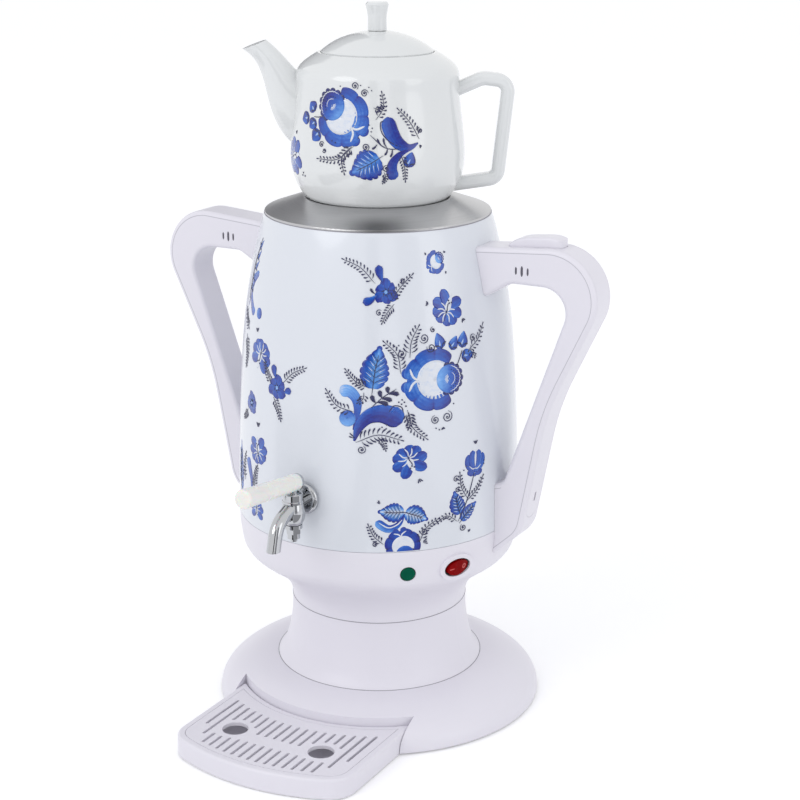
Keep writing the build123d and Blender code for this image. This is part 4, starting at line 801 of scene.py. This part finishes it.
def paint_both_sides(tables, radius_at, mm_per_degree, lowest, *home):
    """Paints each table on the front of a body, then on its back."""
    for side, turn in (("front", 0.0), ("back", 180.0)):
        for name, table in tables.items():
            work = paint(table, mm_per_degree)
            work.wrapped(f"{name}_{side}", radius_at, mm_per_degree, turn, lowest, *home)


# The ornament's tables, as paint() reads them

BODY_MOTIFS = {
    # Large bouquet right of the tap, with its leaf, commas, ferns and curls
    "bouquet": """
fern 38.5,262 32,283 -0.16 9 4.6
fern 42.3,272 46.4,292 0.1 7 5.4
spiral 48.5,284 3.4 1.7 200
spiral 51.4,277.5 3.2 1.6 160
spiral 39,275 3 1.6 20 -1
spiral 52.5,289 1.9 1.3 90
dots 36.2,280 37,277.6 37.9,280.4
fern 25.9,253 16.6,264.5 0.1 8 3.6
spiral 22,256 3 1.6 300
fern 24,250 21.5,243 0.2 4 3.2
leaf 27.5,252.5 30.2,278.6 9.9 6
rose 52,256.3 21 357
bud 56.2,276 54.2,286.4 4
bud 60.4,274.4 63.4,282.8 3.7
bud 65.8,274.4 67.4,285 4.3
bud 65.4,268 71.4,269.8 4.5
fern 69.5,272.5 78.5,286.5 -0.1 6 3.8
fern 70.5,275 73.5,266.5 -0.25 4 3 0.5 0
spiral 71.8,279.5 2.6 1.5 30
stem 63,264 64.6,269 65.8,273
comma 19.8,225 21,233 21.5,240.5 20.6,246.6 17.8,250.6 14.2,249.6 4 0.22 0.84 -0.04
comma 20.2,217.4 21.8,226 25.3,233.4 30.4,236 35.2,233.8 38.8,229.6 6.8 0.28 0.3 0.22
berry 17.5,232.3 5.4 0.62 0 -0.2 24
fern 19.9,237 8.8,250 0.16 8 4
fern 20.8,216.5 38.6,217.8 0.16 10 6 0.55
fern 29.5,220 32.4,211.5 0.1 5 2.6
spiral 23,211.8 2.9 1.6 60 -1
ticks 20.8,219 150 5.5 2
dots 31,227 32.6,226 34.1,224.6 32.9,228.5
stem 26.8,240 31.5,247 36.8,252.2
drop 29,243.6 33.5,241.8 1.5 0.1
drop 30.6,246 35,244.4 1.5 0.1
drop 28.6,243.2 27,248.4 1.5 0.1
drop 31,246.6 30.2,251.6 1.5 0.1
drop 33.4,249 37.8,248.4 1.5 0.1
drop 33.6,249.4 33.4,254 1.5 0.1
vein 33.6,236.8 35.6,241 38.6,240 39.4,236.4 0.35 0.08 12 1
vein 34.6,236.6 36.2,239.4 38,238.6 0.9 0.5 10 2
dots 37.6,243.4 38.7,242 39.8,243.2 38.9,244.9 40.4,240.6 0.55
fern 40.9,238 48.6,217.5 -0.14 9 4.4
fern 41.4,236.5 41.2,225 0.12 6 3
spiral 52.4,229.6 3 1.7 100
spiral 57.6,230.6 3.9 1.8 80 -1
ticks 55.4,224.6 285 2.6 3
dots 52.6,223.8 54,222.6 60.6,238.6
""",
    # Wild flower with ferns, small rose and tulip above the bouquet
    "upper_flowers": """
fern 28.4,320 14,334.5 -0.1 9 4
fern 35,308.5 44.8,325 0.05 8 3.4
fern 36.4,307 31.2,295 -0.06 7 3.4
spiral 30,301.5 2.2 1.3 40
spiral 40,321.5 1.9 1.3 200
wild_flower 33,314.5 8.8 24
petal 31.6,321 29.8,331.5 3 0.05 0.28 0.5
petal 29,312.5 23.2,308 2.7 0.1 0.3 0.6
drop 28.4,313.5 26.4,317 0.9 0.1
apart
rose 56.2,331.3 7.6 35 0.32 0.5
ticks 52.4,336.5 160 2.4 2
ticks 60.6,336 45 2.4 2
ticks 60.2,325.2 320 2.2 2
apart
open_flower 60.2,302 12 62 8 34
ticks 51.6,305.5 165 3 3
ticks 66.8,294 300 3.4 3
""",
    # Open flower, bell flower on its stem, and the group that the seam cuts
    "lower_flowers": """
open_flower 41.9,202.6 11.6 292 8 34
ticks 45.2,191.5 292 3.8 3
ticks 71.2,207 90 3.6 3
stem 62,157 66.5,171 70.2,188
apart
bell_flower 70.6,187.5 71.3,203.5 8.2
dots 66,194 64.9,191.6 75.8,194.6 75.6,192.4
fern 66.6,171.5 63,190 0.1 7 3.2
fern 66.4,170 75,184 -0.08 7 3.2
spiral 61.2,186.8 2.4 1.4 0
spiral 62,179 2 1.3 60
leaf 63,162 60.4,177.4 6 5 0.3 0.6
leaf 63.6,157 70.6,167 4.6 5 0.32 0.6
spiral 64.4,151.8 2.6 1.5 120
fern 61.6,157 51.8,158 -0.3 7 2.8
ticks 67,146.6 75 3 2
apart
leaf 39.2,168.6 30,169.4 7 6 0.22 0.98
leaf 39.9,168.2 48.2,162.4 7 6 0.24 0.96
comma 39.6,167.4 37.4,160.6 33.2,157.4 28.4,162.6 3 0.24 0.64 0.16
vein 38.6,163.4 36.6,160 33.2,158.2 29.6,161.8 0.4 1 14 1
ticks 30.4,174.4 130 3.4 2
fern 31.4,146.5 25.6,160.2 0.1 7 3.4
spiral 28.2,146.4 1.9 1.3 30
rose 38.9,145.6 11.8 282 0.2 0.46 0.5 0.3
fern 45.4,146.8 53.2,161.6 0.14 7 3.6
spiral 47.2,154 2.5 1.5 210
ticks 46.4,146.4 10 4.2 3
""",
    # Narrower column of the same flowers left of the tap
    "side_column": """
bud -42.2,330 -38.6,336.6 1.9
bud -42.7,323 -39,329.6 1.9
bud -43.2,316 -39.4,322.6 1.9
bud -43.7,309 -39.8,315.6 1.9
bud -44.2,302 -40.2,308.6 1.9
stem -40.4,338 -44.4,318 -44.6,296
comma -45.2,291 -43,300 -42,308 -37.2,316 2.4
comma -41,308 -42.6,300 -39.4,291.6 -36.4,287.8 3
berry -31.4,290 3.8 0.48 -0.2 0 28
ticks -31,277 100 3.8 3
open_flower -27.6,262 12 250 8 60
fern -43,272 -41.6,250 0.12 9 4.2
fern -40,276 -47.2,288 0.12 6 4.2
fern -11.6,250 -0.8,262.5 0.08 8 4
fern -18.6,247 -23.6,261 0.06 7 3.2
fern -17,238.5 -12.6,224 0.06 7 3.4
wild_flower -15.2,245.4 8.8 12
petal -16.2,252 -17.6,260.4 2.6 0.05 0.28 0.5
petal -10.8,243.4 -7.4,245.4 2.4 0.1 0.3 0.6
apart
wild_flower -33.4,228 8 40 7
fern -37,222 -42,214 0.1 6 3.2
open_flower -27.2,198 10.6 100 8 40
ticks -27,213 95 4.4 3
apart
leaf -45,160 -46.4,194 6.4 6 0.28 0.7
comma -33.2,164 -32.2,172 -34.4,182 -36.4,188 3.4
fern -29.6,168 -27.4,186 0.05 8 3.6
fern -39.4,170 -38.6,190 0.1 7 3
open_flower -28,154 8.2 270 7 50
""",
}
POT_MOTIFS = {
    # Bouquet on the teapot's side
    "pot_bouquet": """
rose 5.4,421 19.4 138 0.3 0.66 0.5 0.44
open_flower -40,391.6 12.2 15 8 30
ticks -38,405.5 95 3.2 2
dots -27.3,382.2 -28.6,380.4 -25.8,380.2 0.6
bud -16.8,423.4 -22.4,428.6 4.4 0.27 0.5
bud -22.6,419.6 -30.4,416.4 4.4 0.27 0.5
bud -15.6,417.8 -21.2,412.4 4.2 0.27 0.5
bud -11.6,411.6 -17.2,404.6 4.6 0.27 0.5
stem -10.4,420.6 -13.4,419.8 -17.4,419.8
spiral 14.4,441.2 2.6 1.6 300
spiral 21,436.6 2.6 1.7 0
dots 18.4,441.6 24,440.4 25.8,438.4 4,440.6 0.42
fern 28.6,420 32.6,437 -0.18 7 3.2
fern 27,427.5 34,428.4 -0.2 5 2.2
comma 56.4,404.6 51,402.2 46.6,402.8 41.6,406.8 37.8,414.2 35.9,421.8 5 0.24 0.36 0.14
vein 46.4,402.4 38.4,405.4 32.6,411.6 31.6,418 34,419.4 0.35 0.08 14 1
fern 57.4,407 43.6,426.4 -0.06 8 3.8 0.5
spiral 58.4,412.6 2 1.4 90
comma 51,400.8 44.4,398.2 39.6,393 38.6,387.2 40.8,382 3.7 0.22 0.34 0.05
bud 49,389.4 52,399 4.2 0.26 0.5
fern 44.6,398.4 47.6,380.6 0.04 8 2.8
leaf 30.6,396 13.4,386 10.4 6 0.28 0.66
stem 44.4,401.4 34.6,402.4 25,410.4
drop 33.6,402.6 29.4,408.4 0.7 0.1
drop 35.6,402.4 33.4,408.8 0.7 0.1
drop 29.4,404.8 26,401.6 0.7 0.1
drop 36,402.2 34,397.6 0.7 0.1
drop 39,401.6 37.6,396.4 0.7 0.1
spiral 22,402.8 2.5 1.7 270
spiral 35,389 2.3 1.5 60
fern 33.6,387 33,379.6 0.2 5 2.2
fern 14.4,403.4 -11.4,393.4 0.16 10 3.6
fern 13,403 8,385.4 -0.24 8 3.4
spiral -9,402.8 2.1 1.4 20
spiral -6.6,399.2 1.6 1.3 200
dots -1,405.8 1.6,404.8 17.4,408.6 24.2,416.8 26.2,414.8 25.6,412.6 0.45
ticks 57.2,404 300 3 2
""",
}


class TEAMAKER_OT_finishes(Operator):
    """Give every part of the frame its finish"""

    bl_idname = "teamaker.finishes"
    bl_label = "Finishes"

    def execute(self, context):
        colours, _, _ = settings()
        dress(moulded_plastic("housing_plastic", colours.housing),
              "foot_base base_plate pedestal_neck lower_housing rim_ring drip_tray drip_grille")
        dress(moulded_plastic("handle_plastic", colours.housing, 0.26, 0.36),
              "handle_right handle_left handle_cover_right handle_cover_left thumb_button")
        dress(gloss_paint("shell_paint", colours.paint), "outer_shell")
        dress(glaze("pot_glaze", colours.glaze), "teapot teapot_lid lid_knob")
        dress(turned_steel("brushed_top", colours.steel), "boiler_lid")
        dress(rolled_steel("tank_steel", (0.55, 0.55, 0.56)), "water_tank heating_element tank_support lid_ring")
        dress(rolled_steel("zinc_steel", (0.50, 0.51, 0.52)),
              "base_screws neck_screws housing_screws handle_plates handle_screws knob_screw button_spring tap_locknut")
        dress(rolled_steel("heater_alloy", (0.62, 0.62, 0.63)), "heating_plate thermostat")
        dress(rolled_steel("contact_metal", (0.62, 0.55, 0.38)), "inlet_pins switch_tabs")
        dress(plated("tap_chrome", colours.chrome), "tap_flange tap_body tap_plug tap_washer tap_nut")
        dress(milky_plastic("lever_plastic", colours.lever), "tap_lever")
        dress(glossy_plastic("lens_plastic", colours.lens), "lamp_lens")
        dress(glossy_plastic("rocker_plastic", colours.rocker), "rocker")
        dress(moulded_plastic("black_plastic", (0.02, 0.02, 0.022), 0.4, 0.55),
              "lamp_holder switch_body power_inlet dry_boil_cutout")
        dress(rubber("seal_rubber", (0.55, 0.55, 0.53)), "tap_seals")
        dress(rubber("foot_rubber", (0.03, 0.03, 0.03)), "rubber_feet")
        return {"FINISHED"}


class TEAMAKER_OT_shell_ornament(Operator):
    """Paint the blue flowers on the boiler's shell, front and back"""

    bl_idname = "teamaker.shell_ornament"
    bl_label = "Shell Ornament"

    def execute(self, context):
        ink = brush_ink("shell_ink", settings()[0])
        shell = profile_of(nodes["outer_shell"], BODY_LEVELS, range(15, 180, 9))
        paint_both_sides(BODY_MOTIFS, shell, BODY_MM_PER_DEGREE, BODY_CUT, ink, "boiler", "shell_paint")
        return {"FINISHED"}


class TEAMAKER_OT_pot_ornament(Operator):
    """Paint the bouquet on both sides of the teapot"""

    bl_idname = "teamaker.pot_ornament"
    bl_label = "Pot Ornament"

    def execute(self, context):
        ink = brush_ink("pot_ink", settings()[0], 320.0)
        pot = profile_of(nodes["teapot"], POT_LEVELS, range(0, 60, 5))
        paint_both_sides(POT_MOTIFS, pot, POT_MM_PER_DEGREE, POT_LEVELS[0], ink, "teapot", "pot_glaze")
        return {"FINISHED"}


class TEAMAKER_OT_switch_marks(Operator):
    """Raise the off ring and the on dash on the rocker's face"""

    bl_idname = "teamaker.switch_marks"
    bl_label = "Switch Marks"

    def execute(self, context):
        before, sink = 50 * MM, 0.1 * MM
        colours, sizes, _ = settings()
        finish = Finish("mark_paint", colours.mark, 0.35)
        finish.tint(finish.noise(900.0), shade(colours.mark, 0.9), shade(colours.mark, 1.1))
        turn = sizes.switch_turn
        out = Vector((sin(turn), -cos(turn), -sin(sizes.switch_lean)))
        across = Vector((cos(turn), sin(turn), 0.0))
        rocker = nodes["rocker"]
        tree = BVHTree.FromObject(rocker, context.evaluated_depsgraph_get())
        middle = sum((Vector(corner) for corner in rocker.bound_box), Vector()) / 8
        for name, side, make in (("off_ring", 1, self.ring), ("on_dash", -1, self.dash)):
            start = middle + across * side * sizes.mark_spread + out * before
            spot, normal, _, _ = tree.ray_cast(start, -out)
            if spot is None:
                raise RuntimeError("the rocker's face wasn't found")
            mark = make(sizes)
            right = (across - normal * across.dot(normal)).normalized()
            turned = Matrix((right, normal.cross(right), normal)).transposed().to_4x4()
            bmesh.ops.transform(mark, matrix=Matrix.Translation(spot - normal * sink) @ turned, verts=mark.verts)
            bmesh.ops.recalc_face_normals(mark, faces=mark.faces)
            add_piece(name, mark, finish.material, "rocker")
        return {"FINISHED"}

    def ring(self, sizes):
        shape = bmesh.new()
        bmesh.ops.create_circle(shape, segments=28, radius=sizes.mark_size)
        grown = bmesh.ops.extrude_edge_only(shape, edges=shape.edges[:])["geom"]
        inner = [item for item in grown if isinstance(item, bmesh.types.BMVert)]
        bmesh.ops.scale(shape, vec=(0.5, 0.5, 1.0), verts=inner)
        bmesh.ops.solidify(shape, geom=shape.faces[:], thickness=-sizes.mark_height)
        return shape

    def dash(self, sizes):
        rise = 0.12 * MM
        shape = bmesh.new()
        bmesh.ops.create_cube(shape, size=1.0)
        box = (2.0 * sizes.mark_size, 0.45 * sizes.mark_size, sizes.mark_height)
        bmesh.ops.scale(shape, vec=box, verts=shape.verts)
        bmesh.ops.translate(shape, vec=UP * rise, verts=shape.verts)
        return shape


class TEAMAKER_OT_housing_seams(Operator):
    """Lay fine lines of painted shadow where the neck, the bowl and the shell meet their neighbours"""

    bl_idname = "teamaker.housing_seams"
    bl_label = "Housing Seams"

    def execute(self, context):
        _, sizes, _ = settings()
        shadow = two_tone("seam_shadow", (0.27, 0.26, 0.30), (0.33, 0.32, 0.36), 40.0, 0.6)
        for name, part, end in (("foot_seam", "pedestal_neck", min), ("waist_seam", "pedestal_neck", max),
                                ("rim_seam", "outer_shell", max)):
            points = [vertex.co for vertex in nodes[part].data.vertices]
            level = end(point.z for point in points)
            reach = max(point.xy.length for point in points if abs(point.z - level) < 2 * NEAR)
            line = bmesh.new()
            across = Matrix.Translation((reach, 0.0, level)) @ Matrix.Rotation(pi / 2, 4, "X")
            bmesh.ops.create_circle(line, segments=8, radius=sizes.seam_radius, matrix=across)
            bmesh.ops.spin(
                line, geom=[*line.verts, *line.edges], cent=(0, 0, 0), axis=UP, angle=2 * pi, steps=240, use_merge=True
            )
            bmesh.ops.recalc_face_normals(line, faces=line.faces)
            for face in line.faces:
                face.smooth = True
            add_piece(name, line, shadow, "boiler", "housing_white")
        return {"FINISHED"}


class TEAMAKER_OT_handle_lines(Operator):
    """Lay the joint line of painted shadow and the three marks of painted shade on the front face of each handle"""

    bl_idname = "teamaker.handle_lines"
    bl_label = "Handle Lines"

    def execute(self, context):
        _, sizes, _ = settings()
        joint = two_tone("joint_shadow", (0.49, 0.48, 0.53), (0.55, 0.54, 0.59), 40.0, 0.6)
        hollow = two_tone("mark_shadow", (0.08, 0.075, 0.10), (0.13, 0.12, 0.15), 200.0, 0.7)
        for name, side in (("right", 1), ("left", -1)):
            line, front = self.joint(nodes[f"handle_{name}"].data, side, sizes)
            add_piece(f"handle_joint_{name}", line, joint, "boiler", "handle_white")
            marks = self.marks(side, front, sizes)
            add_piece(f"handle_marks_{name}", marks, hollow, "boiler", "handle_white")
        return {"FINISHED"}

    def joint(self, mesh, side, sizes):
        """Thin ribbon along the outer edge of the handle's flat front face, and how far forward that face is."""
        shape = bmesh.new()
        shape.from_mesh(mesh)
        bmesh.ops.remove_doubles(shape, verts=shape.verts, dist=WELD)
        front = min(vertex.co.y for vertex in shape.verts)
        flat = {face for face in shape.faces
                if face.normal.y < -0.999 and abs(face.calc_center_median().y - front) < NEAR}
        inner, outward = [], {}
        for edge in shape.edges:
            faces = flat.intersection(edge.link_faces)
            away = self.outward(edge, faces.pop(), side, sizes) if len(faces) == 1 else None
            if away is None:
                inner.append(edge)
                continue
            for vertex in edge.verts:
                outward[vertex] = outward.get(vertex, Vector()) + away
        bmesh.ops.delete(shape, geom=shape.faces[:], context="FACES_ONLY")
        bmesh.ops.delete(shape, geom=inner, context="EDGES")
        grown = bmesh.ops.extrude_edge_only(shape, edges=shape.edges[:])["geom"]
        for vertex in [item for item in grown if isinstance(item, bmesh.types.BMVert)]:
            root = min((old for old in outward if old.is_valid), key=lambda old: (old.co - vertex.co).length)
            vertex.co -= outward[root].normalized() * sizes.joint_line
        bmesh.ops.recalc_face_normals(shape, faces=shape.faces)
        for face in shape.faces:
            if face.normal.y > 0:
                face.normal_flip()
        for vertex in shape.verts:
            vertex.co.y = front - sizes.joint_lift
        bmesh.ops.solidify(shape, geom=shape.faces[:], thickness=sizes.ink_thickness)
        bmesh.ops.recalc_face_normals(shape, faces=shape.faces)
        return shape, front

    def outward(self, edge, face, side, sizes):
        """Direction out of the face over its edge, or nothing for an edge of the grip's inside or of a mark."""
        start, end = (vertex.co for vertex in edge.verts)
        middle = (start + end) / 2
        away = (end - start).cross(Vector((0.0, 1.0, 0.0))).normalized()
        if away.dot(middle - face.calc_center_median()) < 0:
            away.negate()
        steps = (middle.x * side - sizes.grip_mark_reach, middle.z - sizes.grip_mark_level)
        at_marks = max(abs(step) for step in steps) < 2 * sizes.grip_mark_pitch
        return away if away.x * side + 0.6 * away.z > 0.1 and not at_marks else None

    def marks(self, side, front, sizes):
        """Three upright ovals, the middle one the largest, that fill the face's slots with shade."""
        half_width, thickness, half_height, sink = 0.75 * MM, 0.3 * MM, 3.1 * MM, 0.11 * MM
        shape = bmesh.new()
        for step in (-1, 0, 1):
            share = 0.85 if step else 1.15
            place = (side * (sizes.grip_mark_reach + step * sizes.grip_mark_pitch), front + sink,
                     sizes.grip_mark_level)
            size = Matrix.Diagonal((half_width * share, thickness, half_height * share, 1.0))
            matrix = Matrix.Translation(place) @ size @ Matrix.Rotation(pi / 2, 4, "X")
            bmesh.ops.create_cone(
                shape, cap_ends=True, segments=24, radius1=1.0, radius2=1.0, depth=1.0, matrix=matrix
            )
        bmesh.ops.recalc_face_normals(shape, faces=shape.faces)
        return shape


class TEAMAKER_OT_stage(Operator):
    """Set up floor, room light, lamps, cards and camera"""

    bl_idname = "teamaker.stage"
    bl_label = "Stage"

    def execute(self, context):
        colours, _, stage = settings()
        scene = context.scene
        turned = Matrix.Rotation(stage.camera_turn, 3, "Z")

        def at(right, out, height):
            """A place by the camera's side: to its right, out from the boiler and up."""
            return turned @ Vector((right, -out, height))

        pale_floor = self.floor_material(colours.floor, stage.floor_glow)
        self.sheet("studio_floor", stage.floor_width, stage.floor_width, pale_floor)
        self.room(scene, colours.room, stage.room_light)
        self.lamp("key_lamp", at(-1.5, 1.3, 1.5), stage.key_power, stage)
        self.lamp("fill_lamp", at(1.6, 1.4, 0.8), stage.fill_power, stage)
        black = two_tone("black_card", (0.010, 0.010, 0.011), (0.015, 0.015, 0.016), 6.0, 0.9)
        grey = two_tone("grey_card", (0.20, 0.20, 0.21), (0.24, 0.24, 0.25), 6.0, 0.9)
        pale = two_tone("pale_card", (0.38, 0.38, 0.39), (0.42, 0.42, 0.43), 6.0, 0.9)
        # Cards that only show in reflections, as a photographer's flags: width, length, paper, place and tilt
        for name, width, length, paper, place, tilt in (
            ("front_card", 0.17, 0.9, black, at(-0.15, 0.72, 0.002), 0.0),
            ("left_card", 0.50, 0.8, grey, at(-0.80, 0.45, 0.002), 0.0),
            ("right_card", 0.55, 0.8, pale, at(0.22, 0.60, 0.002), 0.0),
            ("back_card", 0.9, 1.4, grey, at(-0.62, -1.6, 1.2), pi / 2),
            ("tall_card", 0.30, 1.1, black, at(-0.12, 1.5, 0.55), pi / 2),
            ("side_card", 0.7, 1.1, pale, at(0.75, 1.3, 0.55), pi / 2),
        ):
            card = self.sheet(name, width, length, paper)
            card.location = place
            card.rotation_euler = (tilt, 0.0, stage.camera_turn)
            card.visible_camera = card.visible_diffuse = card.visible_shadow = False
        camera = bpy.data.cameras.new("photo_camera")
        camera.lens = stage.lens_length
        camera.sensor_width = 36.0
        scene.camera = self.stand(camera, at(stage.camera_shift, stage.camera_reach, stage.camera_height))
        scene.camera.rotation_euler = (pi / 2 - stage.camera_tilt, 0.0, stage.camera_turn)
        scene.view_settings.view_transform = "Standard"
        return {"FINISHED"}

    def floor_material(self, colour, glow):
        """Pale floor that the camera and mirrors see lifted to white, with its shadows kept."""
        finish = Finish("studio_floor", colour, 0.9).set(Specular_IOR_Level=0.1)
        lift = finish.add("ShaderNodeEmission", {"Strength": finish.math("MULTIPLY", finish.seen(), glow)})
        both = finish.add("ShaderNodeAddShader", {0: finish.shader.outputs[0], 1: lift.outputs[0]})
        finish.link(both.outputs[0], finish.tree.nodes["Material Output"].inputs["Surface"])
        return finish.material

    def room(self, scene, colour, strength):
        """Even light for the object, plain white for the camera and the mirrors."""
        scene.world = bpy.data.worlds.new("studio_room")
        scene.world.use_nodes = True
        tree = NodeTree(scene.world.node_tree)
        light = tree.tree.nodes["Background"]
        light.inputs["Color"].default_value = (*colour, 1.0)
        light.inputs["Strength"].default_value = strength
        white = tree.add("ShaderNodeBackground", {"Color": (1.0, 1.0, 1.0, 1.0), "Strength": 1.0})
        mix = tree.add("ShaderNodeMixShader", {0: tree.seen(), 1: light.outputs[0], 2: white.outputs[0]})
        tree.link(mix.outputs[0], tree.tree.nodes["World Output"].inputs["Surface"])

    def sheet(self, name, width, length, material):
        """Flat piece of the studio."""
        shape = bmesh.new()
        bmesh.ops.create_grid(shape, x_segments=1, y_segments=1, size=0.5)
        bmesh.ops.scale(shape, vec=(width, length, 1.0), verts=shape.verts)
        sheet = add_object(name, shape, material)
        return sheet

    def lamp(self, name, place, power, stage):
        light = bpy.data.lights.new(name, "AREA")
        light.shape = "DISK"
        light.size = stage.lamp_size
        light.energy = power
        aim = UP * stage.lamp_aim - place
        self.stand(light, place).rotation_euler = aim.to_track_quat("-Z", "Y").to_euler()

    def stand(self, data, place):
        """Puts a lamp or camera in its place."""
        holder = bpy.data.objects.new(data.name, data)
        bpy.context.scene.collection.objects.link(holder)
        holder.location = place
        return holder


class TEAMAKER_PT_panel(Panel):
    """Lists the tea maker's steps and settings"""

    bl_label = "Tea Maker"
    bl_idname = "TEAMAKER_PT_panel"
    bl_space_type = "VIEW_3D"
    bl_region_type = "UI"
    bl_category = "Tea Maker"

    def draw(self, context):
        for operator in OPERATORS:
            self.layout.operator(operator.bl_idname)
        for group in settings():
            box = self.layout.box()
            for name in group.bl_rna.properties.keys():
                if name not in {"rna_type", "name"}:
                    box.prop(group, name)


OPERATORS = (
    TEAMAKER_OT_finishes,
    TEAMAKER_OT_shell_ornament,
    TEAMAKER_OT_pot_ornament,
    TEAMAKER_OT_switch_marks,
    TEAMAKER_OT_housing_seams,
    TEAMAKER_OT_handle_lines,
    TEAMAKER_OT_stage,
)
CLASSES = (TeaMakerColours, TeaMakerSizes, TeaMakerStage, *OPERATORS, TEAMAKER_PT_panel)


def register():
    for item in CLASSES:
        bpy.utils.register_class(item)
    bpy.types.Scene.tea_maker_colours = PointerProperty(type=TeaMakerColours)
    bpy.types.Scene.tea_maker_sizes = PointerProperty(type=TeaMakerSizes)
    bpy.types.Scene.tea_maker_stage = PointerProperty(type=TeaMakerStage)


def unregister():
    del bpy.types.Scene.tea_maker_stage
    del bpy.types.Scene.tea_maker_sizes
    del bpy.types.Scene.tea_maker_colours
    for item in reversed(CLASSES):
        bpy.utils.unregister_class(item)


def main():
    register()
    bpy.ops.teamaker.finishes()
    bpy.ops.teamaker.shell_ornament()
    bpy.ops.teamaker.pot_ornament()
    bpy.ops.teamaker.switch_marks()
    bpy.ops.teamaker.housing_seams()
    bpy.ops.teamaker.handle_lines()
    bpy.ops.teamaker.stage()


if __name__ == "__main__":
    main()
